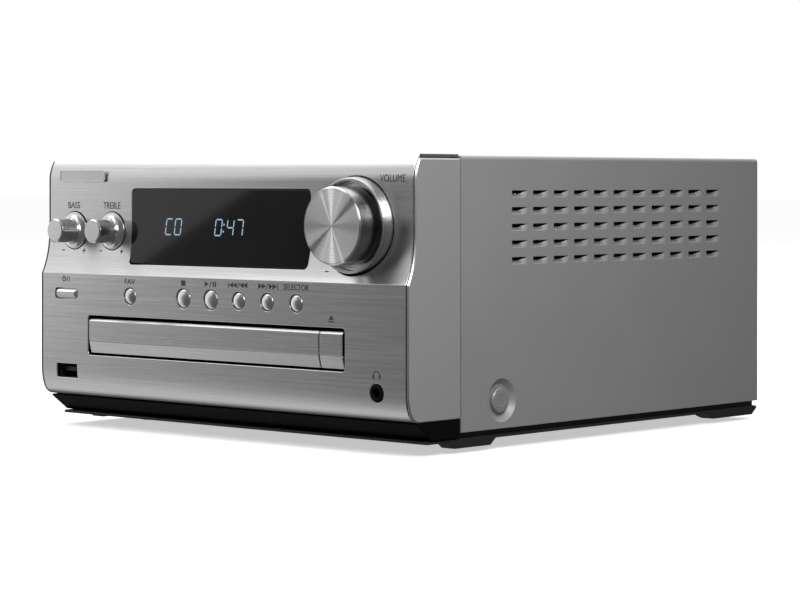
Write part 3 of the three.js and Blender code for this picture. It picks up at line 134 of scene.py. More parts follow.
class Outline:
    """A closed or open outline as short runs: the two ends of each run, the outward normals there,
    and the mitres, along which an inset keeps an even width."""

    def __init__(self, ends, normals, closed=True):
        self.ends = np.asarray(ends, float)
        self.normals = np.asarray(normals, float)
        self.closed = closed
        before = np.roll(self.normals[:, 1], 1, axis=0)
        after = np.roll(self.normals[:, 0], -1, axis=0)
        if not closed:
            before[0] = self.normals[0, 0]
            after[-1] = self.normals[-1, 1]
        start = self._mitre(before, self.normals[:, 0])
        end = self._mitre(self.normals[:, 1], after)
        self.mitres = np.stack([start, end], 1)

    @staticmethod
    def _mitre(one, other):
        """The mean of two unit normals, lengthened so that it reaches both offset lines."""
        mean = unit(one + other)
        return mean / np.maximum(np.einsum("ij,ij->i", mean, other), 0.2)[:, None]

    def flipped(self):
        """The same outline as the edge of a hole, whose normals point into the hole."""
        return Outline(self.ends, -self.normals, self.closed)

    def split(self, rows, inset):
        """Runs whose inset edge crosses a row are cut there, so that a point lies on the row."""
        for row in rows:
            edge = self.ends - self.mitres * inset
            a, b = edge[:, 0, 1], edge[:, 1, 1]
            crossing = (a - row) * (b - row) < -1e-12
            share = ((row - a) / np.where(crossing, b - a, 1))[crossing][:, None]
            parts = []
            for values in (self.ends, self.normals, self.mitres):
                middle = values[crossing, 0] * (1 - share) + values[crossing, 1] * share
                out = np.repeat(values, np.where(crossing, 2, 1), axis=0)
                where = (np.arange(len(crossing)) + np.cumsum(crossing) - crossing)[crossing]
                out[where, 1] = middle
                out[where + 1, 0] = middle
                parts.append(out)
            self.ends, self.normals, self.mitres = parts
        return self


def outline(corners, closed=True, steps=6, smooth=0):
    """Straight runs joined by arcs. A corner is (u, v) or (u, v, radius), and its arc touches both
    of its sides: along it the direction turns evenly from one side's to the other's. Where two runs
    meet at less than smooth degrees, they share the mean of their normals."""
    places = np.array([c[:2] for c in corners], float)
    radii = [c[2] if len(c) > 2 else 0.0 for c in corners]
    count = len(corners)
    area = np.cross(places, np.roll(places, -1, axis=0)).sum()
    side = 1.0 if area > 0 else -1.0
    points, normals = [], []
    for i in range(count):
        here = places[i]
        ahead = unit(places[(i + 1) % count] - here)
        behind = unit(here - places[i - 1])
        open_end = not closed and i in (0, count - 1)
        if open_end or radii[i] == 0:
            near = behind if (closed or i > 0) else ahead
            far = ahead if (closed or i < count - 1) else behind
            points.append(np.stack([here, here]))
            normals.append(np.stack([[near[1], -near[0]], [far[1], -far[0]]]) * side)
            continue
        turn = math.atan2(np.cross(behind, ahead), behind @ ahead)
        reach = radii[i] * math.tan(abs(turn) / 2)
        left = np.array([-behind[1], behind[0]]) * math.copysign(radii[i], turn)
        centre = here - behind * reach + left
        angles = np.linspace(0, turn, steps + 1)
        across = behind[0] * np.cos(angles) - behind[1] * np.sin(angles)
        along = behind[0] * np.sin(angles) + behind[1] * np.cos(angles)
        right = np.stack([along, -across], 1)
        points.append(centre + right * math.copysign(radii[i], turn))
        normals.append(right * side)
    ends, faces = [], []
    for i in range(count):
        if len(points[i]) > 2:
            ends += list(np.stack([points[i][:-1], points[i][1:]], 1))
            faces += list(np.stack([normals[i][:-1], normals[i][1:]], 1))
        if closed or i < count - 1:
            j = (i + 1) % count
            ends.append(np.stack([points[i][-1], points[j][0]]))
            faces.append(np.stack([normals[i][-1], normals[j][0]]))
    ends, faces = np.array(ends), np.array(faces)
    real = np.linalg.norm(ends[:, 1] - ends[:, 0], axis=1) > WELD
    ends, faces = ends[real], faces[real]
    if smooth:
        after = np.roll(faces[:, 0], -1, axis=0)
        near = np.einsum("ij,ij->i", faces[:, 1], after) > math.cos(math.radians(smooth))
        near[-1] = near[-1] and closed
        shared = unit(faces[:, 1] + after)
        faces[:, 1] = np.where(near[:, None], shared, faces[:, 1])
        faces[:, 0] = np.where(np.roll(near, 1)[:, None], np.roll(shared, 1, axis=0), faces[:, 0])
    return Outline(ends, faces, closed)


def circle(u, v, radius, steps=64):
    """A round outline: centre plus radius times cosine and sine."""
    angles = np.linspace(0, 2 * np.pi, steps + 1)
    around = np.stack([np.cos(angles), np.sin(angles)], 1)
    normals = np.stack([around[:-1], around[1:]], 1)
    return Outline(normals * radius + [u, v], normals)


def rounded(u0, u1, v0, v1, radius, steps=6):
    """A rectangle whose corners are arcs."""
    corners = [(u0, v0), (u1, v0), (u1, v1), (u0, v1)]
    return outline([(*corner, radius) for corner in corners], steps=steps)


class Flat:
    """A flat place: u and v run along two unit directions from a point, and depth goes inwards."""

    def __init__(self, origin, across, up, out=None):
        self.origin = np.array(origin, float)
        self.across = np.array(across, float)
        self.up = unit(np.array(up, float))
        self.out = np.cross(self.across, self.up) if out is None else np.array(out, float)

    def rows(self):
        """A flat place has no folds that faces must stop at."""
        return []

    def at(self, uv, depth, middle):
        """Position, upward direction and outward direction at each (u, v)."""
        u, v = uv[..., :1], uv[..., 1:]
        place = self.origin + u * self.across + v * self.up - depth[..., None] * self.out
        shape = place.shape
        return place, np.broadcast_to(self.up, shape), np.broadcast_to(self.out, shape)

    def across_at(self):
        """The direction of u."""
        return self.across


def frontal(y):
    """A place that faces the front, drawn in X and Z."""
    return Flat((0, y, 0), (1, 0, 0), (0, 0, 1))


def rearward(y):
    """A place that faces the back, drawn in X and Z."""
    return Flat((0, y, 0), (1, 0, 0), (0, 0, 1), (0, 1, 0))


def sideways(x, sign=1):
    """A place that faces the right, or the left where sign is -1, drawn in Y and Z."""
    return Flat((x, 0, 0), (0, 1, 0), (0, 0, 1), (sign, 0, 0))


def lying(z):
    """A place that faces up, drawn in X and Y."""
    return Flat((0, 0, z), (1, 0, 0), (0, 1, 0))


class Fold:
    """A bent sheet: v is the distance along an open section. The section is drawn in Y and Z and
    carried along X, or drawn in X and Z and carried along Y."""

    def __init__(self, section, along="x"):
        self.section = section
        self.order = [0, 1, 2] if along == "x" else [1, 0, 2]
        lengths = np.linalg.norm(section.ends[:, 1] - section.ends[:, 0], axis=1)
        self.edges = np.concatenate([[0], np.cumsum(lengths)])

    def rows(self):
        """The distances of the folds, at which faces are cut."""
        return list(self.edges[1:-1])

    def across_at(self):
        """The direction of u."""
        return np.array([1.0, 0.0, 0.0])[self.order]

    def falling(self):
        """First coordinate, height and distance of each point after the section's highest."""
        points = np.concatenate([self.section.ends[:, 0], self.section.ends[-1:, 1]])
        start = int(np.flatnonzero(points[:, 1] >= points[:, 1].max() - WELD)[-1])
        return points[start:, 0], points[start:, 1], self.edges[start:]

    def laid(self, loop):
        """An outline drawn in u and Z, as the front shows it, laid on the sheet's falling side."""
        _, heights, distances = self.falling()
        ends = loop.ends.copy()
        ends[..., 1] = np.interp(-ends[..., 1], -heights, distances)
        return Outline(ends, loop.normals * [1, -1])

    def surface(self, heights):
        """The section's first coordinate at each height of its falling side."""
        depths, z, _ = self.falling()
        return np.interp(-heights, -z, depths)

    def at(self, uv, depth, middle):
        """Each point lies on the straight strip that holds middle, the v of its face's centre."""
        strip = np.clip(np.searchsorted(self.edges, middle) - 1, 0, len(self.edges) - 2)
        length = self.edges[strip + 1] - self.edges[strip]
        share = ((uv[..., 1] - self.edges[strip]) / length)[..., None]
        ends, normals = self.section.ends[strip], self.section.normals[strip]
        flat = ends[..., 0, :] * (1 - share) + ends[..., 1, :] * share
        out = unit(normals[..., 0, :] * (1 - share) + normals[..., 1, :] * share)
        along = unit(ends[..., 1, :] - ends[..., 0, :])
        flat = flat - out * depth[..., None]
        place = np.concatenate([uv[..., :1], flat], -1)
        zero = np.zeros_like(share)
        return (
            place[..., self.order],
            np.concatenate([zero, along], -1)[..., self.order],
            np.concatenate([zero, out], -1)[..., self.order],
        )


def pattern_triangles(loops, rows, inset):
    """A flat pattern between its loops, cut into triangles that no row crosses."""
    edges, polygons = [], []
    for loop in loops:
        edge = loop.ends[:, 0] - loop.mitres[:, 0] * inset
        snapped = edge.copy()
        for row in rows:
            snapped[np.abs(edge[:, 1] - row) < WELD, 1] = row
        ring = np.arange(len(snapped)) + sum(len(p) for p in polygons)
        polygons.append(snapped)
        edges += list(zip(ring.tolist(), np.roll(ring, -1).tolist()))
    flat = np.concatenate(polygons)
    for row in rows:
        on_row = np.flatnonzero(flat[:, 1] == row)
        ordered = on_row[np.argsort(flat[on_row, 0])]
        edges.append((int(ordered[0]), int(ordered[-1])))
    verts, _, faces, origins, _, _ = delaunay_2d_cdt(
        [Vector(p) for p in flat.tolist()], edges, [], 0, WELD / 4
    )
    placed = np.array([flat[o[0]] if o else v for v, o in zip(verts, origins)], float)
    triangles = placed[np.array(faces, int)]
    centres = triangles.mean(1)
    crossings = sum(inside(polygon, centres).astype(int) for polygon in polygons)
    return triangles[crossings == 1]


def inside(polygon, points):
    """True for each point from which a line to the right crosses the polygon an odd number of
    times."""
    a, b = polygon, np.roll(polygon, -1, axis=0)
    above = (a[:, 1] > points[:, 1:]) != (b[:, 1] > points[:, 1:])
    rise = np.where(b[:, 1] == a[:, 1], 1.0, b[:, 1] - a[:, 1])
    cross = a[:, 0] + (points[:, 1:] - a[:, 1]) * (b[:, 0] - a[:, 0]) / rise
    return (above & (cross > points[:, :1])).sum(1) % 2 == 1


def slab(shell, place, loops, thickness, edge=0.2, back=None, steps=3, open_holes=()):
    """A plate: two faces cut to the loops, with walls between them. Towards the front face the wall
    turns over an arc of radius edge, and towards the back one over back, or over edge again; where
    steps is 1 each is a flat chamfer. The first loop is the outside and the others are holes, and
    the holes counted in open_holes get no wall. Gives back the shell."""
    back = edge if back is None else back
    outer, holes = loops[0], [hole.flipped() for hole in loops[1:]]
    rows = place.rows()
    cut = [loop.split(rows, edge) for loop in [outer, *holes]]
    triangles = pattern_triangles(cut, rows, edge)
    faces = np.concatenate([triangles, triangles[:, 2:]], 1)
    middle = np.repeat(triangles.mean(1)[:, None, 1], 4, axis=1)
    for depth, sign in ((0.0, 1.0), (thickness, -1.0)):
        corners, _, out = place.at(faces, np.full(faces.shape[:2], depth), middle)
        shell.add(corners, out * sign)
    angles = np.linspace(0, np.pi / 2, steps + 1)
    drawn, sunk = 1 - np.sin(angles), 1 - np.cos(angles)
    insets = np.concatenate([edge * drawn, back * drawn[::-1], [edge]])
    depths = np.concatenate([edge * sunk, thickness - (back * sunk)[::-1], [thickness]])
    tilts = np.concatenate([angles, np.pi - angles[::-1], [np.pi]])
    across = place.across_at()
    for number, loop in enumerate(cut):
        if number - 1 in open_holes:
            continue
        middle = np.repeat(loop.ends[:, :, 1].mean(1)[:, None], 2, axis=1)
        rings, directions = [], []
        for inset, depth in zip(insets, depths):
            flat = loop.ends - loop.mitres * inset
            at, up, out = place.at(flat, np.full(flat.shape[:2], depth), middle)
            wall = loop.normals[..., :1] * across + loop.normals[..., 1:] * up
            rings.append(at)
            directions.append((wall, out))
        for a, b in zip(range(len(depths) - 1), range(1, len(depths))):
            turns = (tilts[a], tilts[b])
            if steps == 1 and a != len(angles) - 1:
                turns = (sum(turns) / 2,) * 2
            low, high = [
                unit(directions[k][0] * np.sin(turn) + directions[k][1] * np.cos(turn))
                for k, turn in zip((a, b), turns)
            ]
            corners = np.stack([rings[a][:, 0], rings[a][:, 1], rings[b][:, 1], rings[b][:, 0]], 1)
            normals = np.stack([low[:, 0], low[:, 1], high[:, 1], high[:, 0]], 1)
            shell.add(corners, normals)
    return shell


AXES = {
    "x": (np.array([0, 1.0, 0]), np.array([0, 0, 1.0]), np.array([1.0, 0, 0])),
    "y": (np.array([1.0, 0, 0]), np.array([0, 0, 1.0]), np.array([0, 1.0, 0])),
    "z": (np.array([1.0, 0, 0]), np.array([0, 1.0, 0]), np.array([0, 0, 1.0])),
}


def turned(shell, section, centre, axis="y", steps=64, ribs=None):
    """A section of radius and height turned about an axis: the radius goes along the cosine and
    sine of the angle. ribs, a function of the angle and radius, scales it. Gives back the shell."""
    first, second, along = AXES[axis]
    angles = np.linspace(0, 2 * np.pi, steps + 1)
    around = np.cos(angles)[:, None] * first + np.sin(angles)[:, None] * second
    radius, height = section.ends[..., 0], section.ends[..., 1]
    grow = ribs(angles, radius) if ribs else np.ones((*radius.shape, len(angles)))
    ring = (radius[..., None] * grow)[..., None] * around + height[..., None, None] * along
    facing = section.normals[..., None, :1] * around + section.normals[..., None, 1:] * along
    ring, facing = ring + np.array(centre), facing + ring * 0
    corners = [ring[:, 0, :-1], ring[:, 1, :-1], ring[:, 1, 1:], ring[:, 0, 1:]]
    normals = [facing[:, 0, :-1], facing[:, 1, :-1], facing[:, 1, 1:], facing[:, 0, 1:]]
    shell.add(np.stack(corners, 2), np.stack(normals, 2))
    return shell


def lathe(corners, centre, axis="y", steps=64, arc=6, smooth=0, ribs=None):
    """A new shell of an open section that starts and ends at the axis, or at a bore."""
    section = outline(corners, closed=False, steps=arc, smooth=smooth)
    return turned(Shell(), section, centre, axis, steps, ribs)


def added(name, data):
    """A new object of the scene."""
    made = bpy.data.objects.new(name, data)
    bpy.context.scene.collection.objects.link(made)
    return made


def finished(shell, name, body, finish, slot, *nodes):
    """Makes the piece, which stands for the nodes, with its finish and its place in the motion."""
    piece = added(name, shell.mesh(name))
    piece.data.materials.append(finish)
    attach(piece, body)
    if nodes:
        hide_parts(*nodes)


# --- Finishes


class Socket:
    """A node's output. Arithmetic on it adds Math nodes to its material."""

    def __init__(self, paint, output):
        self.paint = paint
        self.output = output

    def math(self, operation, *others):
        """A Math node with this socket first."""
        values = {i + 1: other for i, other in enumerate(others)}
        return self.paint.node("ShaderNodeMath", {"operation": operation}, {0: self, **values})

    def __add__(self, other):
        return self.math("ADD", other)

    def __sub__(self, other):
        return self.math("SUBTRACT", other)

    def __rsub__(self, other):
        return self.paint.node("ShaderNodeMath", {"operation": "SUBTRACT"}, {0: other, 1: self})

    def __mul__(self, other):
        return self.math("MULTIPLY", other)

    def __truediv__(self, other):
        return self.math("DIVIDE", other)

    def __pow__(self, other):
        return self.math("POWER", other)

    __radd__ = __add__
    __rmul__ = __mul__


class Paint:
    """A material, or the world, that is made of nodes."""

    def __init__(self, name, owner=None):
        self.owner = owner or bpy.data.materials.new(name)
        self.owner.use_nodes = True
        self.tree = self.owner.node_tree
        self.tree.nodes.clear()

    def node(self, kind, settings=None, inputs=None, out=0):
        """Adds a node: its settings first, then the values or links of its sockets."""
        made = self.tree.nodes.new(kind)
        for key, value in (settings or {}).items():
            setattr(made, key, value)
        for key, value in (inputs or {}).items():
            if isinstance(value, Socket):
                self.tree.links.new(value.output, made.inputs[key])
            else:
                made.inputs[key].default_value = value
        return Socket(self, made.outputs[out]) if made.outputs else None

    def parts(self, vector):
        """The three numbers of a vector."""
        made = self.node("ShaderNodeSeparateXYZ", {}, {"Vector": vector}).output.node
        return [Socket(self, output) for output in made.outputs]

    def place(self, centre=(0, 0, 0), scale=(1, 1, 1)):
        """Object coordinates in millimetres from a centre, stretched by scale."""
        spot = self.node("ShaderNodeTexCoord", out="Object")
        shift = [-c * s for c, s in zip(centre, scale)]
        inputs = {"Vector": spot, "Location": shift, "Scale": [s / MM for s in scale]}
        return self.node("ShaderNodeMapping", {}, inputs)

    def noise(self, where, scale=1.0, detail=2.0, rough=0.5):
        """Smooth noise from 0 to 1 about 0.5."""
        inputs = {"Vector": where, "Scale": scale, "Detail": detail, "Roughness": rough}
        return self.node("ShaderNodeTexNoise", {}, inputs)

    def blend(self, factor, one, other):
        """A colour between two colours."""
        one, other = [c if isinstance(c, Socket) else (*c, 1) for c in (one, other)]
        inputs = {"Factor": factor, 6: one, 7: other}
        return self.node("ShaderNodeMix", {"data_type": "RGBA"}, inputs, out=2)

    def shades(self, factor, colour, dark, bright):
        """From a colour times dark to the same colour times bright, each part at most 1."""
        ends = [tuple(min(c * share, 1) for c in colour) for share in (dark, bright)]
        return self.blend(factor, *ends)

    def bump(self, height, distance):
        """A normal tilted by a height whose full range is distance millimetres."""
        inputs = {"Height": height, "Distance": distance * MM, "Strength": 1.0}
        return self.node("ShaderNodeBump", {}, inputs)

    def surface(self, **values):
        """The one shader of the material, from its sockets' names with _ for a space."""
        inputs = {key.replace("_", " "): value for key, value in values.items()}
        shader = self.node("ShaderNodeBsdfPrincipled", {}, inputs)
        self.node("ShaderNodeOutputMaterial", {}, {"Surface": shader})
        return self.owner


def level(value):
    """A grey whose three parts are alike."""
    return (value, value, value)


def brushed(name, bright, rough, anisotropy=0.5):
    """Metal brushed along X: noise stretched along the strokes lightens, roughens and scores it,
    and a reflection is drawn out across the strokes."""
    paint = Paint(name)
    wide = paint.noise(paint.place(scale=(0.016, 1.6, 1.6)), detail=3.0, rough=0.65)
    fine = paint.noise(paint.place(scale=(0.07, 7.0, 7.0)), detail=2.0, rough=0.6)
    strokes = wide * 0.6 + fine * 0.4
    return paint.surface(
        Base_Color=paint.shades(strokes, level(bright), 0.74, 1.26),
        Metallic=1.0,
        Roughness=strokes * 0.16 + (rough - 0.08),
        Anisotropic=anisotropy,
        Anisotropic_Rotation=0.25,
        Normal=paint.bump(strokes, 0.012),
    )


# Sectors of painted reflection: middle angle, width and weight; a negative weight paints a dark
# sector.
PAINTED_REFLECTION_SECTORS = ((92, 5.5, 1.0), (114, 3.0, 0.6), (66, 7.0, 0.2), (41, 6.0, -0.85), (0, 12.0, -0.3))


def spun(name, centre, bright, rough, painted_wedges=PAINTED_REFLECTION_SECTORS, depth=0.5, skirt=99.0):
    """Metal turned on a lathe about an axis along Y: fine rings score it, and painted reflection
    lies in bright and dark sectors of its colour. Each sector is a bell of the angle about the
    axis, and comes again half a turn round. From the skirt radius outwards the colour is darker:
    painted shade."""
    paint = Paint(name)
    x, _, z = paint.parts(paint.place(centre=(centre[0], 0, centre[1])))
    radius = (x * x + z * z) ** 0.5
    angle = z.math("ARCTAN2", x)
    rings = paint.noise(
        paint.node("ShaderNodeCombineXYZ", {}, {"X": radius * 3.0, "Y": angle * 0.15})
    )
    rings_and_painted_sheen = rings * 0.08 - 0.04
    # Painted reflection: each sector lightens or darkens the colour by angle, scaled by depth.
    for middle, width, weight in painted_wedges:
        off = (angle - math.radians(middle)).math("SINE")
        bell = (off * off / (-(math.radians(width) ** 2))).math("EXPONENT")
        rings_and_painted_sheen = rings_and_painted_sheen + bell * (weight * depth)
    # Painted shade: beyond the skirt radius the colour is darkened.
    rings_and_painted_sheen = rings_and_painted_sheen + 0.5 - radius.math("GREATER_THAN", skirt) * 0.3
    rings_and_painted_sheen = rings_and_painted_sheen.math("MAXIMUM", 0.0).math("MINIMUM", 1.0)
    return paint.surface(
        Base_Color=paint.shades(rings_and_painted_sheen, level(bright), 0.3, 1.6),
        Metallic=1.0,
        Roughness=rings * 0.1 + (rough - 0.05),
        Normal=paint.bump(rings, 0.006),
    )


def satin_metal(name, bright, rough):
    """Bare bright metal with a faint cloud of handling marks."""
    paint = Paint(name)
    cloud = paint.noise(paint.place(), scale=0.12, detail=4.0, rough=0.6)
    grain = paint.noise(paint.place(), scale=4.0, detail=1.0)
    return paint.surface(
        Base_Color=paint.shades(cloud, level(bright), 0.88, 1.08),
        Metallic=1.0,
        Roughness=cloud * 0.1 + grain * 0.06 + (rough - 0.08),
        Normal=paint.bump(grain, 0.003),
    )


def painted(name, colour, rough, grain=0.02, size=2.2, metal=0.0, shine=0.5):
    """Sprayed or moulded skin: an even colour, a fine pebbled grain and a soft change in gloss."""
    paint = Paint(name)
    pebbles = paint.noise(paint.place(), scale=size, detail=2.0, rough=0.6)
    cloud = paint.noise(paint.place(), scale=0.03, detail=3.0)
    mix = pebbles * 0.5 + cloud * 0.5
    return paint.surface(
        Base_Color=paint.shades(mix, colour, 0.88, 1.12),
        Metallic=metal,
        Roughness=mix * 0.12 + (rough - 0.06),
        Specular_IOR_Level=shine,
        Normal=paint.bump(pebbles, grain),
    )


def edged_paint(name, colour, rough, side):
    """Paint on a sheet's outer side, at that distance from the middle, and bare cut edges."""
    paint = Paint(name)
    across = paint.parts(paint.place())[0]
    bare = across.math("ABSOLUTE").math("LESS_THAN", side - 0.03)
    pebbles = paint.noise(paint.place(), scale=3.0, detail=2.0)
    skin = paint.shades(pebbles, colour, 0.95, 1.05)
    return paint.surface(
        Base_Color=paint.blend(bare, skin, level(0.55)),
        Metallic=bare * 0.75 + 0.25,
        Roughness=pebbles * 0.06 + (rough - 0.03) - bare * 0.12,
        Normal=paint.bump(pebbles, 0.006),
    )


def glossy_black(name):
    """Smoked acrylic: near black, with a clear hard surface and the faintest haze."""
    paint = Paint(name)
    haze = paint.noise(paint.place(), scale=0.05, detail=4.0)
    return paint.surface(
        Base_Color=paint.blend(haze, level(0.006), level(0.011)),
        Roughness=haze * 0.04 + 0.03,
        Specular_IOR_Level=0.4,
    )


def printed(name, colour):
    """Screen print: flat ink whose density wavers slightly."""
    paint = Paint(name)
    density = paint.noise(paint.place(), scale=1.4, detail=2.0)
    return paint.surface(
        Base_Color=paint.shades(density, colour, 0.8, 1), Roughness=0.5
    )


def glowing(name, colour, strength):
    """A lit segment: the light wavers slightly over its area."""
    paint = Paint(name)
    waver = paint.noise(paint.place(), scale=0.8, detail=1.0)
    return paint.surface(
        Base_Color=(*level(0.02), 1),
        Emission_Color=paint.shades(waver, colour, 0.8, 1),
        Emission_Strength=strength,
        Roughness=0.4,
    )


def circuit(name, colour, track):
    """Solder mask over copper: straight tracks show as a lighter, raised pattern of bricks."""
    paint = Paint(name)
    inputs = {"Vector": paint.place(), "Scale": 0.35}
    cells = paint.node("ShaderNodeTexVoronoi", {"distance": "MANHATTAN"}, inputs)
    lines = (cells * 9.0).math("FRACT").math("GREATER_THAN", 0.62)
    cloud = paint.noise(paint.place(), scale=0.2, detail=2.0)
    return paint.surface(
        Base_Color=paint.blend(lines * 0.8 + cloud * 0.2, colour, track),
        Roughness=cloud * 0.1 + 0.3,
        Normal=paint.bump(lines, 0.03),
    )


BRUSHED = brushed("brushed_silver", 0.62, 0.235)
TRAY_SILVER = brushed("brushed_tray_silver", 0.6, 0.25)
PLATE_SILVER = satin_metal("plate_silver", 0.62, 0.28)
KNOB_SILVER = satin_metal("knob_silver", 0.72, 0.22)
BUTTON_SILVER = satin_metal("button_silver", 0.7, 0.24)
COVER_GREY = painted("cover_grey", (0.37, 0.37, 0.374), 0.45, grain=0.045, size=2.0, metal=0.25)
SCREW_GREY = painted("screw_grey", level(0.42), 0.35, grain=0.01, metal=0.5)
PLINTH_BLACK = painted("plinth_black", level(0.003), 0.5, grain=0.01, size=2.0, shine=0.08)
MOULDED_BLACK = painted("moulded_black", level(0.016), 0.42, grain=0.02, size=1.8)
MOULDED_DARK = painted("moulded_dark", level(0.03), 0.45, grain=0.02, size=1.8)
STEEL_BLACK = painted("coated_steel", level(0.028), 0.5, grain=0.03, size=1.6, metal=0.3)
STEEL_BARE = satin_metal("bare_steel", 0.5, 0.34)
WINDOW_BLACK = glossy_black("window_black")
BOARD = circuit("solder_mask", (0.012, 0.07, 0.035), (0.03, 0.16, 0.08))
NYLON = painted("nylon", (0.68, 0.67, 0.62), 0.45, grain=0.01, size=1.2)
RUBBER = painted("rubber", level(0.018), 0.8, grain=0.04, size=2.6)
INK = printed("grey_print", level(0.06))
PALE_INK = printed("pale_print", level(0.6))
CAP_RED = painted("cap_red", (0.42, 0.015, 0.012), 0.35, grain=0.01)
CAP_WHITE = painted("cap_white", level(0.7), 0.35, grain=0.01)
GLOW = glowing("segment_glow", (0.34, 0.52, 0.64), 1.0)


# --- Places and sizes that pieces share

PANEL_LOW, PANEL_HIGH = span("front_panel")
FRONT, HEAD_BACK = PANEL_LOW[1], PANEL_HIGH[1]
TOP, PANEL_BOTTOM, PANEL_HALF = PANEL_HIGH[2], PANEL_LOW[2], PANEL_HIGH[0]
SIDE, LIP_TOP = span("cheek_right")[1][[0, 2]]
SHEET = 1.4
STEP = 4.2
CREASE = TOP - 49.2
COVE_TOP, COVE_PULL = CREASE + 19.2, CREASE + 8.2
ROLL_DEPTH, ROLL_PULL, ROLL_HEIGHT = 3.8, 4.5, 10.0
FOOT_HEIGHT, FOOT_PULL, FOOT_LEAN, FOOT_DEPTH = 12.9, 5.4, 1.6, 6.8
FACE_END = 0.8
GAP = 0.3


def middle_of(node):
    """Middle of a node's box."""
    low, high = span(node)
    return (low + high) / 2


def curve(handles, steps):
    """Points of a Bernstein curve with three or four handles, without its two ends."""
    share = np.linspace(0, 1, steps + 1)[1:-1, None]
    last = len(handles) - 1
    weights = [math.comb(last, i) * share**i * (1 - share) ** (last - i) for i in range(last + 1)]
    return [tuple(p) for p in sum(w * np.array(h) for w, h in zip(weights, handles))]


def panel_face():
    """The face in Y and Z, falling from the roll under the top to the foot: a curve, an upright
    stretch, a hollow cove that ends in a crease, a lower upright stretch and a curve below it.
    A point just inside each upright stretch keeps it flat where normals are shared."""
    y, step = FRONT, FRONT + STEP
    roll = (step + ROLL_DEPTH, TOP), (step, TOP - ROLL_PULL), (step, TOP - ROLL_HEIGHT)
    cove = (step, COVE_TOP), (step, COVE_PULL), (y, CREASE)
    foot = (
        (y, PANEL_BOTTOM + FOOT_HEIGHT),
        (y, PANEL_BOTTOM + FOOT_PULL),
        (y + FOOT_LEAN, PANEL_BOTTOM),
        (y + FOOT_DEPTH, PANEL_BOTTOM),
    )
    upper = [roll[2], (step, roll[2][1] - FACE_END), (step, COVE_TOP + FACE_END), cove[0]]
    lower = [(*cove[2], 0.7), (y, foot[0][1] + FACE_END), foot[0]]
    rolled = [(*roll[0], 0.5), *curve(roll, 10)]
    return [*rolled, *upper, *curve(cove, 14), *lower, *curve(foot, 12), foot[3]]


PANEL = Fold(outline([(HEAD_BACK, TOP), *panel_face()], closed=False, steps=4, smooth=14))

VOLUME_AT, BASS_AT, TREBLE_AT, STANDBY_AT, JACK_AT = [
    middle_of(node)[[0, 2]]
    for node in ("volume_knob", "bass_knob", "treble_knob", "standby_button", "headphone_jack")
]
ROUND_BUTTONS = ("favourite", "stop", "play", "skip_back", "skip_forward", "selector")
BUTTON_RADIUS = {name: 4.1 if name in ("stop", "play") else 3.6 for name in ROUND_BUTTONS}
BUTTON_AT = {name: middle_of(f"{name}_button")[[0, 2]] for name in BUTTON_RADIUS}
STANDBY_SIZE = (14.3, 4.8)
STANDBY_CORNER = 1.65
TRAY_LOW, TRAY_HIGH = span("tray_front")
EJECT_LOW, EJECT_HIGH = span("eject_button")
DRAWER = (TRAY_LOW[0] - 1, EJECT_HIGH[0] + 1, TRAY_LOW[2] - 1, TRAY_HIGH[2] + 1.4)
WINDOW_LOW, WINDOW_HIGH = span("display_window")
WINDOW_LEAN = 1.3
USB_LOW, USB_HIGH = span("usb_socket")
USB_SHELL = 0.7
COVER_LOW, COVER_HIGH = span("top_cover")
LOUVRE_SIZE = (9.1, 2.7)
LOUVRE_AT = [
    (COVER_LOW[1] + 30.1 + column * 12.95, TOP - 14 - row * 6.5 - LOUVRE_SIZE[1])
    for column in range(11)
    for row in range(5)
]
DISH_AT = middle_of("side_screw_right")[[1, 2]]
CHEEK_GREY = edged_paint("cheek_grey", level(0.4), 0.42, SIDE)


def bar(centre, size, corner, grow=0.0):
    """A rectangle with round corners about a centre, grown all round."""
    (x, z), (w, h) = centre, (size[0] / 2 + grow, size[1] / 2 + grow)
    return rounded(x - w, x + w, z - h, z + h, corner + grow)


def block(x0, x1, z0, z1):
    """A plain rectangle."""
    return outline([(x0, z0), (x1, z0), (x1, z1), (x0, z1)])


def facing(low, high, corner, inset=0.0):
    """The shape of a box as the front shows it, with round corners."""
    x0, z0, x1, z1 = *(low[[0, 2]] + inset), *(high[[0, 2]] - inset)
    return rounded(x0, x1, z0, z1, corner)


def sided(sign, corners):
    """A section along X, whose heights run to the left where sign is -1."""
    return [(radius, sign * height, *arc) for radius, height, *arc in corners]


def window_plane(proud=0.0):
    """The window's face, which leans forward at its foot, or a place that far in front of it."""
    up = (0, WINDOW_LEAN, WINDOW_HIGH[2] - WINDOW_LOW[2])
    place = Flat((0, WINDOW_LOW[1], WINDOW_LOW[2]), (1, 0, 0), up)
    place.origin = place.origin + place.out * proud
    return place


# --- Front: panel, cheeks, plinth, window, plate


def front_panel():
    """The brushed sheet, bent along X, with a hole for everything that comes through it."""
    drawn = [
        facing(WINDOW_LOW, WINDOW_HIGH, 2.1, -GAP),
        rounded(*DRAWER, 1.5),
        facing(USB_LOW, USB_HIGH, 0.3, USB_SHELL),
        bar(STANDBY_AT, STANDBY_SIZE, STANDBY_CORNER),
        circle(*JACK_AT, 3.5),
        circle(*VOLUME_AT, 19.15, 128),
        circle(*BASS_AT, 8.1, 96),
        circle(*TREBLE_AT, 8.1, 96),
        *[circle(*BUTTON_AT[name], radius) for name, radius in BUTTON_RADIUS.items()],
    ]
    whole = block(-PANEL_HALF, PANEL_HALF, 0, PANEL.edges[-1])
    shell = slab(Shell(), PANEL, [whole, *map(PANEL.laid, drawn)], SHEET, edge=0.28)
    finished(shell, "front_panel_sheet", "chassis", BRUSHED, "brushed_panel", "front_panel")


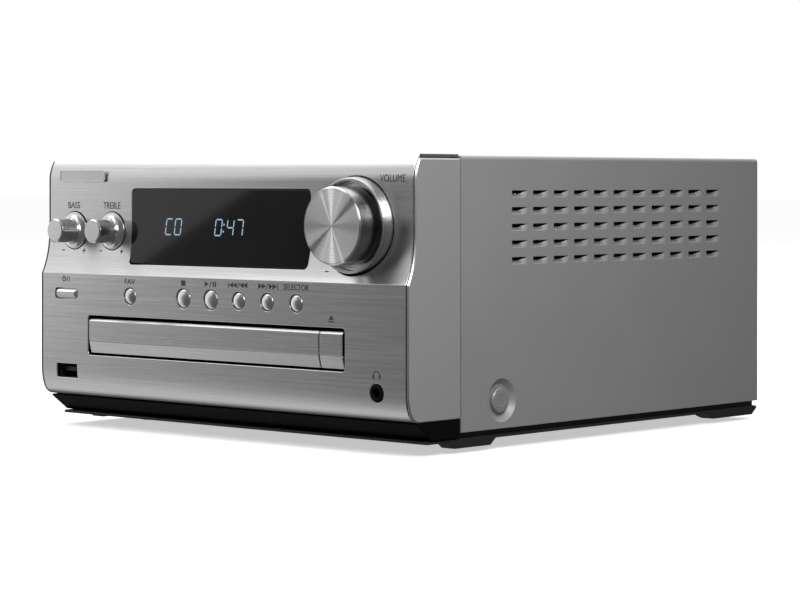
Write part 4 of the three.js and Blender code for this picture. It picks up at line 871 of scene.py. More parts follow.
def cheek(sign, name):
    """An end cheek: a thin lip with a chamfered edge that follows the panel's face, and the ledge
    that stands inside the panel."""
    lip, ledge, cut = 0.8, 5.2, LIP_TOP - 0.1
    face = [c for c in panel_face() if c[1] < cut]
    before = [c for c in panel_face() if c[1] >= cut][-1]
    share = (before[1] - LIP_TOP) / (before[1] - face[0][1])
    start = before[0] + (face[0][0] - before[0]) * share
    corners = [(HEAD_BACK, LIP_TOP), (start, LIP_TOP), *face, (HEAD_BACK, PANEL_BOTTOM)]
    whole = outline(corners, steps=4, smooth=14)
    inset = Outline(whole.ends - whole.mitres * (SHEET + GAP), whole.normals)
    shell = slab(Shell(), sideways(sign * SIDE, sign), [whole], lip, edge=0.5, back=0.1, steps=1)
    slab(shell, sideways(sign * (SIDE - lip), sign), [inset], ledge, edge=0.1)
    finished(shell, f"{name}_cheek", "chassis", CHEEK_GREY, "cheek_paint", f"cheek_{name}")


def plinth():
    """The dark base under the panel, whose front leans back as it goes down."""
    low, high = span("plinth")
    lean = 9.0
    foot = [(low[1] + lean, low[2], 0.8), (high[1], low[2], 0.2)]
    section = outline([(low[1], high[2], 0.4), *foot, (high[1], high[2], 0.2)])
    shell = slab(Shell(), sideways(high[0]), [section], high[0] - low[0], edge=0.4)
    finished(shell, "plinth_base", "chassis", PLINTH_BLACK, "black_plastic", "plinth")


def display_window():
    """A gloss black plate that leans forward at its foot."""
    rise = WINDOW_HIGH[2] - WINDOW_LOW[2]
    shape = rounded(WINDOW_LOW[0], WINDOW_HIGH[0], 0, rise, 1.8)
    shell = slab(Shell(), window_plane(), [shape], 1.4, edge=0.25)
    finished(shell, "window_plate", "chassis", WINDOW_BLACK, "window_gloss", "display_window")


def name_plate():
    """A small blank plate with a raised border and nothing on it."""
    low, high = span("name_plate")
    border, sunk, thick = 0.5, 0.2, 0.7
    inner = facing(low, high, 0.6, border)
    shell = slab(Shell(), frontal(low[1]), [facing(low, high, 1), inner], thick, edge=0.1)
    slab(shell, frontal(low[1] + sunk), [inner], thick - sunk, edge=0.02)
    finished(shell, "blank_name_plate", "chassis", PLATE_SILVER, "spun_metal", "name_plate")


# --- Rotary controls


def volume_knob():
    """A drum with a chamfered rim, hollow behind, on a hub. Its face is turned into fine grooves:
    the depth is a triangle wave of the radius."""
    low, high = span("volume_knob")
    face, back, radius = low[1], high[1], (high[0] - low[0]) / 2
    bore, hub, wall, web, rim = 3.3, 5, 1.5, 3, 0.6
    ridges = np.linspace(0.4, radius - 0.9, 101)
    slopes = 0.035 + 0.012 * np.sin(ridges * 5.0)
    grooves = [(r, face + (k % 2) * d) for k, (r, d) in enumerate(zip(ridges, slopes))]
    outside = [(radius - rim, face, 0.08), (radius, face + rim, 0.1), (radius, back, 0.2)]
    hollow = [(radius - wall, back, 0.2), (radius - wall, face + web, 0.6), (hub, face + web, 0.4)]
    middle = [(hub, back, 0.2), (bore, back), (bore, face + web + 1), (0, face + web + 1)]
    section = [(0, face), *grooves, *outside, *hollow, *middle]
    shell = lathe(section, (VOLUME_AT[0], 0, VOLUME_AT[1]), steps=160)
    # The drum's colour carries painted reflection at depth 0.85, and painted shade on its side
    # beyond the skirt radius.
    finish = spun("spun_volume_painted_reflection", VOLUME_AT, 0.85, 0.25, depth=0.85, skirt=radius - 0.05)
    finished(shell, "volume_drum", "volume", finish, "spun_metal", "volume_knob")


def volume_collar():
    """The ring that the drum stands in: a slightly flared wall on a thin floor."""
    low, high = span("volume_collar")
    front, back, outer = low[1], high[1], (high[0] - low[0]) / 2
    inner, mouth, floor, bore = 17.2, 18.2, FRONT + 3.2, 5.3
    inside = [(bore, floor, 0.1), (inner, floor, 0.4), (inner, front, 0.25), (mouth, front, 0.3)]
    outside = [(outer, FRONT + STEP, 0.3), (outer, back, 0.1), (bore, back, 0.1)]
    at = (VOLUME_AT[0], 0, VOLUME_AT[1])
    shell = turned(Shell(), outline([*inside, *outside]), at, steps=160)
    # The collar's colour carries two bright sectors of painted reflection.
    finish = spun("spun_collar_painted_reflection", VOLUME_AT, 0.62, 0.27, painted_wedges=((93, 9, 0.5), (40, 9, 0.3)))
    finished(shell, "volume_ring", "chassis", finish, "spun_metal", "volume_collar")


def tone_knob(name, at, line_at):
    """A narrow barrel that flares like a trumpet into a thin flange. Its indicator line lies along
    the barrel, at an angle from the right."""
    low, high = span(f"{name}_knob")
    face, back, flange = low[1], high[1], (high[0] - low[0]) / 2
    radius, bore, front, rim, deep = 5.0, 2.3, back - 0.8, 0.55, 2
    barrel = [(radius - rim, face, 0.1), (radius, face + rim, 0.12), (radius, front, 2.6)]
    skirt = [(flange, front, 0.15), (flange, back, 0.15), (bore, back)]
    section = [(0, face), *barrel, *skirt, (bore, face + deep), (0, face + deep)]
    shell = lathe(section, (at[0], 0, at[1]), steps=96, arc=10)
    finished(shell, f"{name}_dial", name, KNOB_SILVER, "spun_metal", f"{name}_knob")
    cos, sin = math.cos(math.radians(line_at)), math.sin(math.radians(line_at))
    out = np.array([cos, 0, sin])
    origin = np.array([at[0], 0, at[1]]) + out * (radius + PRINT_RISE)
    shape = rounded(face + 1.2, front - 2.4, -0.25, 0.25, 0.2)
    line = slab(Shell(), Flat(origin, (0, 1, 0), (-sin, 0, cos), out), [shape], 0.1, edge=0.02)
    finished(line, f"{name}_line", name, PALE_INK, "white_plastic")


# --- Buttons and drawer

BUTTON_RISE, BUTTON_GAP, BUTTON_RIM = 0.7, 0.35, 1.2
BUTTON_SEAT = FRONT + SHEET + GAP


def round_button(name):
    """A domed cap: the height falls as an ellipse towards the rim."""
    x, z = BUTTON_AT[name]
    radius, lip, fall, stem, end = BUTTON_RADIUS[name] - BUTTON_GAP, 0.9, 1.25, 1.5, FRONT + 9
    top, rim = FRONT - BUTTON_RISE, BUTTON_SEAT + BUTTON_RIM
    across = np.sin(np.linspace(0, np.pi / 2, 14))[1:-1]
    dome = [(radius * a, top + fall * (1 - (1 - a**2.2) ** 0.5)) for a in across]
    wall = [(radius, top + fall), (radius, BUTTON_SEAT), (radius + lip, BUTTON_SEAT, 0.2)]
    behind = [(radius + lip, rim, 0.2), (stem, rim), (stem, end), (0, end)]
    shell = lathe([(0, top), *dome, *wall, *behind], (x, 0, z), smooth=40)
    finished(shell, f"{name}_cap", name, BUTTON_SILVER, "button_metal", f"{name}_button")


def standby_button():
    """A bar with round ends and a softened edge."""
    cap = bar(STANDBY_AT, STANDBY_SIZE, STANDBY_CORNER, -BUTTON_GAP)
    rim = bar(STANDBY_AT, STANDBY_SIZE, STANDBY_CORNER, 0.55)
    thick = BUTTON_RISE + SHEET + GAP
    place = frontal(FRONT - BUTTON_RISE)
    shell = slab(Shell(), place, [cap], thick, edge=1.25, back=0.1, steps=1)
    slab(shell, frontal(BUTTON_SEAT), [rim], BUTTON_RIM, edge=0.1)
    finished(shell, "standby_bar", "standby", BUTTON_SILVER, "button_metal", "standby_button")


def drawer_piece(name, node, body):
    """A length of the drawer's section, with softened ends: bevelled above, upright, and below a
    fine groove it slopes back to its foot."""
    low, high = span(node)
    face, back, bottom, top = TRAY_LOW[1] - 0.6, TRAY_HIGH[1], TRAY_LOW[2], TRAY_HIGH[2]
    slope, crease, bevel, groove = 1.3, bottom + 4.85, 0.9, 0.3
    below = [(face + slope, bottom, 0.15), (face + 0.12, crease - groove, 0.05)]
    above = [(face + 0.45, crease), (face, crease + groove, 0.05), (face, top - bevel, 0.15)]
    behind = [(face + bevel, top, 0.15), (back, top, 0.1), (back, bottom, 0.1)]
    section = outline([*below, *above, *behind])
    shell = slab(Shell(), sideways(high[0]), [section], high[0] - low[0], edge=0.22)
    finished(shell, name, body, TRAY_SILVER, "brushed_panel", node)


def disc_tray():
    """A plate with a stepped round pocket over a slot that is open to the back, and a rack of
    straight-sided teeth under it. Each layer's edge follows its pocket round to the slot."""
    low, high = span("disc_tray")
    x, top, y0, y1 = (low[0] + high[0]) / 2, high[2], low[1], high[1]
    radius, small, slot, skin = 60.4, 41.0, 19.0, 0.02
    disc_y, bottom, floor = y0 + 2.8 + radius, top - 4.2, top - 2.9
    start = [(low[0], y0, 2), (high[0], y0, 2), (high[0], y1, 2), (x + slot, y1, 1)]
    end = [(x - slot, y1, 1), (low[0], y1, 2)]
    shell = Shell()
    for at, depth, reach, edge in ((top, 2.0, radius, 0.3), (top - 2.0, 0.9, small, skin)):
        meet = math.acos(slot / reach)
        sweep = np.linspace(meet, -np.pi - meet, 97)
        arc = [(x + reach * math.cos(a), disc_y + reach * math.sin(a)) for a in sweep]
        layer = outline([*start, *arc, *end], smooth=12)
        slab(shell, lying(at), [layer], depth, edge=edge, back=skin)
    mouth = [(x + slot, disc_y - 18, 8), (x - slot, disc_y - 18, 8)]
    plate = outline([*start, *mouth, *end])
    slab(shell, lying(floor), [plate], floor - bottom, edge=skin, back=0.2)
    rack_teeth(shell, low, bottom)
    finished(shell, "disc_tray_plate", "tray", MOULDED_BLACK, "black_plastic", "disc_tray")


def rack_teeth(shell, low, bottom):
    """The rack's outline repeats a trapezoid along Y, one for each module times pi."""
    step, foot, width, depth = math.pi * 1.25, low[0] + 10.3, 2.04, 2.7
    root, first, count = foot + width, low[1] + 16.0, 33
    teeth = first + step * np.arange(count)
    trapezoid = ((root, 0), (root + depth, 0.3), (root + depth, 0.5), (root, 0.8))
    profile = [np.stack([np.full(count, x), teeth + step * share], 1) for x, share in trapezoid]
    profile = np.stack(profile, 1).reshape(-1, 2)
    corners = [(foot, teeth[-1] + step), (foot, first - 1), *map(tuple, profile)]
    slab(shell, lying(bottom), [outline(corners)], bottom - low[2], edge=0.1, steps=1)


def usb_socket():
    """A folded metal mouth with a tongue in its upper half."""
    low, high = USB_LOW, USB_HIGH
    floor, front = high[1] - 1, FRONT + 3.2
    outer = facing(low, high, 0.6)
    loops = [outer, facing(low, high, 0.3, 1)]
    shell = slab(Shell(), frontal(low[1]), loops, floor - low[1], edge=0.15)
    slab(shell, frontal(floor), [facing(low, high, 0.6)], 1, edge=0.1)
    finished(shell, "usb_mouth", "chassis", STEEL_BLACK, "bare_metal", "usb_socket")
    shape = rounded(low[0] + 1.9, high[0] - 1.9, high[2] - 4.0, high[2] - 2.1, 0.3)
    tongue = slab(Shell(), frontal(front), [shape], floor - front, edge=0.2)
    finished(tongue, "usb_tongue", "chassis", MOULDED_DARK, "dark_plastic")


def headphone_jack():
    """A round bush with a softened mouth and a deep bore."""
    low, high = span("headphone_jack")
    radius, bore, floor = (high[0] - low[0]) / 2, 1.8, high[1] - 1.5
    mouth = [(bore, low[1], 0.3), (radius, low[1], 0.4), (radius, high[1], 0.2)]
    section = outline([*mouth, (0, high[1]), (0, floor), (bore, floor)])
    shell = turned(Shell(), section, (JACK_AT[0], 0, JACK_AT[1]))
    finished(shell, "headphone_bush", "chassis", PLINTH_BLACK, "black_plastic", "headphone_jack")


# --- Print and display


def lettering(shell, words, x0, x1, z0, z1, plane):
    """Block capitals filled as a flat mesh, stretched to a box and given a thin solid's depth."""
    text = bpy.data.curves.new("letters", "FONT")
    text.body = words
    text.extrude = 0.5
    letters = added("letters", text)
    bpy.context.view_layer.update()
    solid = letters.evaluated_get(bpy.context.evaluated_depsgraph_get())
    made = bpy.data.meshes.new_from_object(solid)
    made.calc_loop_triangles()
    corners = np.zeros(len(made.vertices) * 3)
    made.vertices.foreach_get("co", corners)
    index = np.zeros(len(made.loop_triangles) * 3, np.int32)
    made.loop_triangles.foreach_get("vertices", index)
    corners, index = corners.reshape(-1, 3), index.reshape(-1, 3)
    low, high = corners.min(0), corners.max(0)
    x, z, y = ((corners - low) / (high - low)).T
    placed = np.stack([x0 + x * (x1 - x0), plane + (1 - y) * PRINT_DEPTH, z0 + z * (z1 - z0)], 1)
    triangles = placed[index]
    out = unit(np.cross(triangles[:, 1] - triangles[:, 0], triangles[:, 2] - triangles[:, 0]))
    faces = np.concatenate([triangles, triangles[:, 2:]], 1)
    shell.add(faces, np.repeat(out[:, None], 4, axis=1))
    bpy.data.objects.remove(letters)


def mark(shell, place, loop):
    """A thin solid of a flat mark."""
    slab(shell, place, [loop], PRINT_DEPTH, edge=0.01, steps=1)


def arrow(x0, x1, z0, z1):
    """A triangle whose point is at x1."""
    return outline([(x0, z0), (x0, z1), (x1, (z0 + z1) / 2)])


def slash(x0, x1, z0, z1, width=0.35):
    """A thin stroke that leans to the right."""
    return outline([(x0, z0), (x0 + width, z0), (x1, z1), (x1 - width, z1)])


def plus(x, z, reach=1.0, half=0.2):
    """A cross of two bars: three corners, and the same after each of three quarter turns."""
    corners = [(-reach, -half), (-half, -half), (-half, -reach)]
    for _ in range(3):
        corners += [(-v, u) for u, v in corners[-3:]]
    return outline([(x + u, z + v) for u, v in corners])


def arc_band(x, z, inner, outer, start, end, steps=24):
    """A band between two radii, from one angle to another."""
    angles = np.radians(np.linspace(start, end, steps + 1))
    far = [(x + outer * math.cos(a), z + outer * math.sin(a)) for a in angles]
    near = [(x + inner * math.cos(a), z + inner * math.sin(a)) for a in angles[::-1]]
    return outline(far + near)


def panel_print():
    """Words and signs, drawn flat and then laid on the panel at its depth at each height."""
    shell = Shell()
    plane = FRONT - PRINT_RISE - PRINT_DEPTH
    base = TOP - 114
    words = [
        ("BASS", -92.4, -85.0, 92.2, 94.9),
        ("TREBLE", -70.0, -59.4, 92.2, 94.9),
        ("VOLUME", 87.3, 100.3, 103.4, 106.2),
        ("FAV", -52.0, -45.8, 61.2, 63.4),
        ("SELECTOR", 40.2, 54.0, 61.4, 63.7),
    ]
    for text, x0, x1, z0, z1 in words:
        lettering(shell, text, x0, x1, z0 + base, z1 + base, plane)
    controls = ((BASS_AT, 6.6, 74.5), (TREBLE_AT, 6.6, 74.5), (VOLUME_AT, 13.5, 69))
    loops = []
    for (x, _), reach, height in controls:
        z = height + base
        loops.append(block(x - reach - 1.0, x - reach + 1.0, z - 0.2, z + 0.2))
        loops.append(plus(x + reach, z))
    z0, z1 = 61.4 + base, 63.6 + base
    middle = (z0 + z1) / 2
    power, stop, play, back, ahead = STANDBY_AT[0], *[
        BUTTON_AT[name][0] for name in ("stop", "play", "skip_back", "skip_forward")
    ]
    loops += [
        slash(power - 0.1, power + 0.9, z0, z1),
        block(power + 1.6, power + 1.95, z0, z1),
        block(power - 1.7, power - 1.35, middle, z1 + 0.4),
        arc_band(power - 1.52, middle, 0.75, 1.1, 120, 420),
        block(stop - 1.2, stop + 1.2, z0, z1),
        arrow(play - 3.4, play - 1.2, z0, z1),
        slash(play - 0.8, play + 0.6, z0, z1),
        block(play + 1.3, play + 1.9, z0, z1),
        block(play + 2.5, play + 3.1, z0, z1),
        block(back - 6.0, back - 5.65, z0, z1),
        slash(back - 0.6, back + 0.6, z0, z1),
        slash(ahead - 0.6, ahead + 0.6, z0, z1),
        block(ahead + 5.65, ahead + 6.0, z0, z1),
    ]
    for shift in (-3.5, -1.4, 2.4, 4.5):
        loops.append(arrow(back + shift + 0.4, back + shift - 1.8, z0, z1))
        loops.append(arrow(ahead - shift - 0.4, ahead - shift + 1.8, z0, z1))
    x, z = (EJECT_LOW[0] + EJECT_HIGH[0]) / 2, EJECT_HIGH[2] + 3.5
    loops.append(outline([(x - 1.4, z + 0.9), (x + 1.4, z + 0.9), (x, z + 2.7)]))
    loops.append(block(x - 1.4, x + 1.4, z, z + 0.5))
    x, z = JACK_AT[0], JACK_AT[1] + 6.6
    loops.append(arc_band(x, z, 1.45, 1.8, -8, 188))
    loops.append(block(x - 2.05, x - 1.25, z - 1.3, z + 0.1))
    loops.append(block(x + 1.25, x + 2.05, z - 1.3, z + 0.1))
    for loop in loops:
        mark(shell, frontal(plane), loop)
    for corners in shell.corners:
        corners[..., 1] += PANEL.surface(corners[..., 2]) - FRONT
    finished(shell, "panel_print", "chassis", INK, "dark_plastic")


SEGMENTS = {"C": (0, 3, 4, 5), "D": range(6), "0": range(6), "4": (1, 2, 5, 6), "7": (0, 1, 2)}


def display_segments():
    """Lit bars of seven-part characters, which lean to the right, just in front of the window."""
    shell = Shell()
    place = window_plane(PRINT_RISE + PRINT_DEPTH)
    width, height, thick, gap, slant, bottom = 3.6, 6.4, 0.55, 0.16, 0.12, 12.2
    half, pitch, dot = height / 2, width + 1.7, 0.35
    runs = [
        ((0, height), (width, height)),
        ((width, height), (width, half)),
        ((width, half), (width, 0)),
        ((0, 0), (width, 0)),
        ((0, 0), (0, half)),
        ((0, half), (0, height)),
        ((0, half), (width, half)),
    ]
    for start, text in ((-31.2, "CD"), (-2.2, "0"), (4.6, "47")):
        for number, letter in enumerate(text):
            for part in SEGMENTS[letter]:
                a, b = (np.array(p, float) for p in runs[part])
                along = unit(b - a)
                side, tip = np.array([-along[1], along[0]]) * thick / 2, along * thick / 2
                a, b = a + along * gap, b - along * gap
                shape = [a, a + tip + side, b - tip + side, b, b - tip - side, a + tip - side]
                x = start + number * pitch
                mark(shell, place, outline([(x + u + v * slant, bottom + v) for u, v in shape]))
    for v in (1.6, 4.4):
        mark(shell, place, bar((2.6 + v * slant, bottom + v), (dot * 2, dot * 2), 0))
    finished(shell, "display_segments", "chassis", GLOW, "dark_plastic")


# --- Shell: cover, rear panel, screws, feet


def top_cover():
    """A folded sheet: two sides and a top, with rows of louvres, a pressed dish at each front
    corner and a rear flange round its open back."""
    low, high = COVER_LOW, COVER_HIGH
    sheet, corner, flange, reach, edge = 1.0, 1.6, 9.4, 8.6, 0.15
    folds = [(-high[0], high[2], corner), (high[0], high[2], corner)]
    section = outline([(-high[0], low[2]), *folds, (high[0], low[2])], closed=False, steps=8)
    fold = Fold(section, along="y")
    length = fold.edges[-1]
    holes = []
    for y, z in LOUVRE_AT:
        bottom, top = z - low[2], z + LOUVRE_SIZE[1] - low[2]
        for flat in ((bottom, top), (length - top, length - bottom)):
            holes.append(rounded(y, y + LOUVRE_SIZE[0], *flat, 0.25, steps=2))
    dish = DISH_AT[1] - low[2]
    holes += [circle(DISH_AT[0], v, reach) for v in (dish, length - dish)]
    dishes = (len(holes) - 2, len(holes) - 1)
    whole = block(low[1], high[1], 0, length)
    shell = slab(Shell(), fold, [whole, *holes], sheet, edge=edge, steps=2, open_holes=dishes)
    for sign in (-1, 1):
        press_dish(shell, sign, reach + edge, sheet)
    inner = sheet * 0.5
    outer = rounded(-high[0] + inner, high[0] - inner, low[2] + 0.1, high[2] - inner, 1.0)
    mouth = block(-high[0] + flange, high[0] - flange, low[2] + 9.0, high[2] - flange)
    slab(shell, rearward(high[1]), [outer, mouth], sheet, edge=0.1)
    finished(shell, "folded_cover", "chassis", COVER_GREY, "cover_paint", "top_cover")


def press_dish(shell, sign, reach, sheet):
    """The pressed dish: from the side sheet it curves down to a flat floor with a screw hole."""
    out, floor, hole, drop = COVER_HIGH[0], 6.3, 2.2, 2.0
    deep = out - drop
    face = [(reach, out), (reach - 0.3, out, 0.3), (floor, deep, 0.8), (hole, deep, 0.1)]
    behind = [(hole, deep - sheet, 0.1), (floor - 0.3, deep - sheet, 0.8)]
    rim = [(reach - 0.6, out - sheet, 0.3), (reach, out - sheet)]
    section = outline(sided(sign, [*face, *behind, *rim]), closed=False)
    turned(shell, section, (0, *DISH_AT), axis="x", steps=96)


def louvre_leaves():
    """Below each slot the sheet is pressed in as a leaf. Its depth is the smooth step of the height
    times a ramp at each end, short at the front and long at the back, and its top edge rises along
    the ramps to the slot's corners."""
    leaf = Shell()
    b, a = np.meshgrid(np.linspace(0, 1, 6), np.linspace(0, 1, 13), indexing="ij")
    ramp = np.minimum(np.minimum(a / 0.1, (1 - a) / 0.38), 1)
    depth, thick, margin = 2.1 * (b * b * (3 - 2 * b)) * ramp, 0.5, 0.1
    ys, zs = a * (LOUVRE_SIZE[0] + margin * 2), b * LOUVRE_SIZE[1] * (1.02 - 0.5 * ramp)
    edges = [
        (np.s_[:1], (0, 0, -1.0)),
        (np.s_[-1:], (0, 0, 1.0)),
        (np.s_[:, :1], (0, -1.0, 0)),
        (np.s_[:, -1:], (0, 1.0, 0)),
    ]
    for sign in (-1, 1):
        x = sign * (COVER_HIGH[0] - 0.05 - depth)
        for y, z in LOUVRE_AT:
            points = np.stack([x, ys + y - margin, zs + z - margin], -1)
            out = unit(np.cross(np.gradient(points, axis=1), np.gradient(points, axis=0)))
            out = out * np.sign(out[..., :1] * sign)
            behind = points - out * thick
            leaf.grid(points, out)
            leaf.grid(behind, -out)
            for edge, towards in edges:
                rim = np.concatenate([points[edge], behind[edge]], int(len(points[edge]) > 1))
                leaf.grid(rim, np.broadcast_to(towards, rim.shape))
    finished(leaf, "louvre_leaves", "chassis", COVER_GREY, "cover_paint")


def rear_panel():
    """A flat sheet with a hole for the inlet and a row of vent slots."""
    low, high = span("rear_panel")
    hole = bar(middle_of("mains_inlet")[[0, 2]], (17.8, 9.8), 0.6)
    vents = [rounded(x, x + 2.2, TOP - 40, TOP - 16, 1.05) for x in np.arange(-84, -6, 5.0)]
    loops = [facing(low, high, 1), hole, *vents]
    shell = slab(Shell(), rearward(high[1]), loops, high[1] - low[1], edge=0.15, steps=2)
    finished(shell, "rear_sheet", "chassis", STEEL_BLACK, "black_steel", "rear_panel")


def side_screws():
    """The two cover screws, in their dishes: a low pan head with a round dimple, on a shank."""
    seat, head, radius, shank = COVER_HIGH[0] - 2 + GAP, 1.5, 4.9, 1.9
    dimple, rim, end = seat + head * 0.9, seat + head * 0.85, seat - 5.0
    face = [(0, dimple), (2.2, dimple, 0.4), (2.7, seat + head, 0.2), (radius, rim, 0.6)]
    below = [(radius, seat, 0.1), (shank, seat, 0.1), (shank, end, 0.3), (0, end)]
    for sign, name in ((-1, "left"), (1, "right")):
        shell = lathe(sided(sign, [*face, *below]), (0, *DISH_AT), axis="x")
        node = f"side_screw_{name}"
        finished(shell, f"cover_screw_{name}", "chassis", SCREW_GREY, "bare_metal", node)


def bottom_chassis():
    """The floor sheet with upturned side flanges, a low rail under each front and rear corner that
    ends in slopes, and a round boss over each foot."""
    low, high = span("bottom_chassis")
    floor, sheet, slope, rail_width = low[2] + 2.6, 1.2, 4, 7.0
    place = Flat((0, 0, floor), (1, 0, 0), (0, 1, 0), (0, 0, -1))
    shell = slab(Shell(), place, [block(low[0], high[0], low[1], high[1])], sheet, edge=0.3)
    for sign in (-1, 1):
        flange = block(HEAD_BACK + GAP, high[1], floor + 0.3, high[2])
        hole = circle(*DISH_AT, 2.2, 32)
        slab(shell, sideways(sign * (high[0] - 2.0), sign), [flange, hole], sheet, edge=0.2)
        for front, back in ((HEAD_BACK - 2, HEAD_BACK + 19), (high[1] - 32, high[1] - 3)):
            foot = [(front, low[2], 0.8), (back, low[2], 0.8)]
            rail = outline([(front - slope, floor + 0.5), *foot, (back + slope, floor + 0.5)])
            slab(shell, sideways(sign * high[0], sign), [rail], rail_width, edge=0.3)
        for name in ("front", "rear"):
            x, y, _ = middle_of(f"foot_{name}_right")
            boss = [(0, low[2]), (5.4, low[2], 0.4), (6.6, floor + 0.4), (0, floor + 0.4)]
            turned(shell, outline(boss, closed=False), (sign * x, y, 0), axis="z", steps=48)
    finished(shell, "chassis_tray", "chassis", STEEL_BLACK, "black_steel", "bottom_chassis")


def feet():
    """Each foot is a low disc that narrows to a round sole."""
    for name in ("front_left", "front_right", "rear_left", "rear_right"):
        low, high = span(f"foot_{name}")
        (x, y, _), radius = (low + high) / 2, (high[0] - low[0]) / 2
        shoulder = low[2] + (high[2] - low[2]) * 0.7
        sole = [(0, low[2]), (2.4, low[2], 0.25), (radius, shoulder, 0.3)]
        shell = lathe([*sole, (radius, high[2], 0.1), (0, high[2])], (x, y, 0), axis="z", steps=48)
        finished(shell, f"{name}_foot", "chassis", RUBBER, "foot_rubber", f"foot_{name}")


# --- Rear sockets

CAP_BORE = 2.3
GRIP = 4.5


def knurl(angles, radius):
    """Outside the grip radius, the radius falls by a small share in each of eighteen grooves."""
    grooves = np.abs(np.sin(angles * 9)) ** 0.6
    return np.where(radius[..., None] > GRIP, 0.94 + 0.06 * grooves, 1.0)


def post_caps():
    """Terminal caps with grooved sides, two in each colour."""
    for number in range(1, 5):
        node = f"post_cap_{number}"
        low, high = span(node)
        (x, _, z), radius = (low + high) / 2, (high[0] - low[0]) / 2
        start, end, deep = low[1], high[1], high[1] - 2
        rim = [(CAP_BORE, start), (radius - 0.8, start, 0.3), (radius, start + 1, 0.3)]
        tip = [(radius, end - 1.2, 0.4), (radius - 1.2, end, 0.5), (0, end)]
        shell = lathe([*rim, *tip], (x, 0, z), steps=144, ribs=knurl)
        bore = outline([(0, deep), (CAP_BORE, deep), (CAP_BORE, start)], closed=False)
        turned(shell, bore.flipped(), (x, 0, z), steps=144)
        finish = CAP_RED if number % 2 else MOULDED_BLACK
        finished(shell, f"binding_cap_{number}", node, finish, "dark_plastic", node)


def terminal_block():
    """A plate with four studs, each of which carries a washer."""
    low, high = span("terminal_block")
    thick, washer, stud = 6, 4.6, 2.0
    face = low[1] + thick
    shell = slab(Shell(), rearward(face), [facing(low, high, 3)], thick, edge=0.6)
    finished(shell, "terminal_plate", "chassis", MOULDED_BLACK, "dark_plastic", "terminal_block")
    studs = Shell()
    for number in range(1, 5):
        node = f"post_cap_{number}"
        (x, _, z), end = middle_of(node), span(node)[1][1] - 3
        ring = [(0, face - 1), (washer, face - 1), (washer, face + 1.2, 0.3), (stud, face + 1.2)]
        section = outline([*ring, (stud, end, 0.3), (0, end)], closed=False)
        turned(studs, section, (x, 0, z), steps=48)
    finished(studs, "terminal_studs", "chassis", STEEL_BARE, "bare_metal")


def rear_sockets():
    """A moulded block with three ringed barrels, each of its own colour."""
    low, high = span("rear_sockets")
    thick, bore, neck, ring, pitch = 5, 1.6, 3.2, 4.2, 14
    face, end, step = low[1] + thick, high[1], high[1] - 1.5
    x, _, z = (low + high) / 2
    shell = slab(Shell(), rearward(face), [facing(low, high, 2)], thick, edge=0.5)
    finished(shell, "socket_block", "chassis", MOULDED_BLACK, "dark_plastic", "rear_sockets")
    inside = [(bore, face + 0.2), (bore, step, 0.2), (neck, step, 0.2), (neck, end, 0.2)]
    section = outline([*inside, (ring, end, 0.3), (ring, face - 0.4), (bore, face - 0.4)])
    for place, name, finish in (
        (-1, "aerial", STEEL_BARE),
        (0, "left", CAP_WHITE),
        (1, "right", CAP_RED),
    ):
        barrel = turned(Shell(), section, (x + place * pitch, 0, z))
        finished(barrel, f"{name}_barrel", "chassis", finish, "dark_plastic")


def mains_inlet():
    """A flanged well with two round pins on its floor."""
    low, high = span("mains_inlet")
    face, floor, flange = high[1], low[1] + 2, 2.4
    x, _, z = (low + high) / 2
    mouth, wall = bar((x, z), (15.2, 7.2), 1.6), bar((x, z), (17.2, 9.2), 0.8)
    shell = slab(Shell(), rearward(face), [facing(low, high, 2), mouth], flange, edge=0.5)
    slab(shell, rearward(face - flange), [wall, mouth], face - flange - floor, edge=0.05)
    slab(shell, rearward(floor), [wall], floor - low[1], edge=0.05)
    finished(shell, "inlet_well", "chassis", MOULDED_BLACK, "black_plastic", "mains_inlet")
    pins = Shell()
    pin, tip, root = 1.2, face - 2, floor - 1
    section = outline([(0, root), (pin, root), (pin, tip, 0.6), (0, tip)], closed=False)
    for sign in (-1, 1):
        turned(pins, section, (x + sign * 4.3, 0, z), steps=32)
    finished(pins, "inlet_pins", "chassis", STEEL_BARE, "bare_metal")


# --- Everything together

front_panel()
cheek(-1, "left")
cheek(1, "right")
plinth()
display_window()
name_plate()
volume_knob()
volume_collar()
tone_knob("bass", BASS_AT, 0)
tone_knob("treble", TREBLE_AT, 90)
for button in BUTTON_RADIUS:
    round_button(button)
standby_button()
drawer_piece("tray_face", "tray_front", "tray")
drawer_piece("eject_face", "eject_button", "eject")
disc_tray()
usb_socket()
headphone_jack()
panel_print()
display_segments()
top_cover()
louvre_leaves()
rear_panel()
bottom_chassis()
side_screws()
feet()
post_caps()
terminal_block()
rear_sockets()
mains_inlet()

KEPT = [
    (MOULDED_BLACK, ("fascia_frame", "loader_frame", "disc_clamper", "turntable")),
    (MOULDED_DARK, ("display_module", "optical_pickup")),
    (STEEL_BLACK, ("traverse_plate", "heatsink")),
    (BOARD, ("front_board", "main_board")),
    (NYLON, ("loading_gear", "motor_pinion", "sled_gear")),
]
KEPT_FINISH = {name: finish for finish, names in KEPT for name in names}
for node_name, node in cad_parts.items():
    for place in node.material_slots:
        place.material = KEPT_FINISH.get(node_name, STEEL_BARE)


# --- Floor, light and camera


def floor():
    """A pale sheet that is wider than the view. Metal and gloss don't mirror it: the sky below the
    horizon stands for it there."""
    half = 12.0
    mesh = bpy.data.meshes.new("floor_sheet")
    corners = [(-half, -half, 0), (half, -half, 0), (half, half, 0), (-half, half, 0)]
    mesh.from_pydata(corners, [], [(0, 1, 2, 3)])
    made = added("floor_sheet", mesh)
    paint = Paint("floor_white")
    cloud = paint.noise(paint.place(), scale=0.002, detail=2.0)
    shades = paint.blend(cloud, level(0.86), level(0.9))
    glow = {"Base_Color": shades, "Emission_Color": shades, "Emission_Strength": 0.6}
    mesh.materials.append(paint.surface(Roughness=0.9, Specular_IOR_Level=0.1, **glow))
    made.location.z = -0.0002
    made.visible_glossy = False
    made.visible_diffuse = False


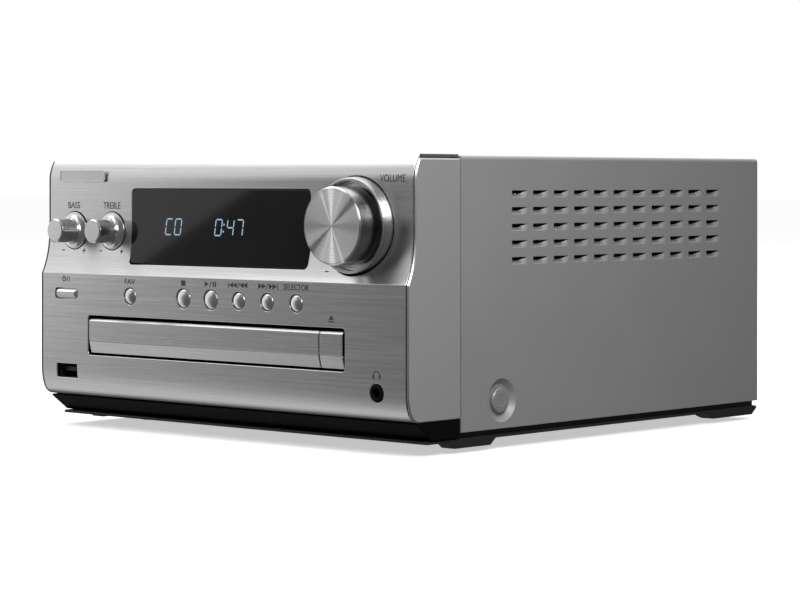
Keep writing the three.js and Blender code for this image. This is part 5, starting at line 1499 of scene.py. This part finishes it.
def softbox(name, centre, towards, size, radiance, roll=0.0):
    """An area light that faces a direction, turned by roll degrees in its own plane."""
    data = bpy.data.lights.new(name, "AREA")
    data.shape = "RECTANGLE"
    data.size, data.size_y = size
    data.energy = radiance * math.pi * size[0] * size[1]
    made = added(name, data)
    made.location = centre
    turn = Vector(towards).to_track_quat("-Z", "Y").to_matrix()
    made.rotation_euler = (turn @ Matrix.Rotation(math.radians(roll), 3, "Z")).to_euler()


def sky():
    """White to the camera. To everything else it is dim at the horizon, brighter above and to the
    left, and below it stands for a white floor that is lit from the front left."""
    world = bpy.data.worlds.new("studio")
    bpy.context.scene.world = world
    paint = Paint("studio", world)
    x, y, z = paint.parts(paint.node("ShaderNodeTexCoord", out="Generated"))

    def ramp(value, start, end):
        """Smooth step from 0 at start to 1 at end."""
        return paint.node(
            "ShaderNodeMapRange",
            {"interpolation_type": "SMOOTHSTEP"},
            {"Value": value, "From Min": start, "From Max": end},
        )

    compass = x.math("ARCTAN2", y * -1.0)
    left = ramp(compass, -0.70, -0.95)
    front = ramp(y, 0.3, -0.3)
    up = ramp(z, 0.4, 0.85)
    behind = ramp(y, 0.25, 0.6) * ramp(z, 0.45, 0.7)
    down = ramp(z, 0.03, -0.2)
    level_glow = (left * 0.20 + 0.145) * (1.0 - up) * (1.0 - down)
    glow = level_glow + up * (left * 0.35 + 0.45) + down * (left * front * 0.62 + 0.12)
    glow = glow + behind * 0.5
    seen = paint.node("ShaderNodeLightPath", out="Is Camera Ray")
    strength = glow * (1.0 - seen) + seen
    shade = paint.node("ShaderNodeBackground", {}, {"Color": (1, 1, 1, 1), "Strength": strength})
    paint.node("ShaderNodeOutputWorld", {}, {"Surface": shade})


def camera():
    """Looks level at the front from the right, with the frame moved up instead of a tilt."""
    data = bpy.data.cameras.new("camera")
    data.lens = 115.72
    data.sensor_width = 36
    data.shift_y = -0.1468
    data.clip_end = 20
    made = added("camera", data)
    made.location = (0.7451, -0.8323, 0.1031)
    made.rotation_euler = (math.pi / 2, 0, math.radians(42.195))
    bpy.context.scene.camera = made


floor()
sky()
softbox("front_left", (-1.062, -0.461, 0.522), (0.728, 0.686, 0), (1.2, 1.2), 0.66, roll=38)
softbox("overhead", (-0.70, 0.08, 1.27), (0, 0, -1), (2.4, 1.6), 1.4, roll=31)
softbox("right", (0.40, -0.26, 0.32), (-0.78, 0.5, -0.6), (0.24, 0.24), 8.0)
camera()
bpy.context.scene.view_settings.view_transform = "Standard"
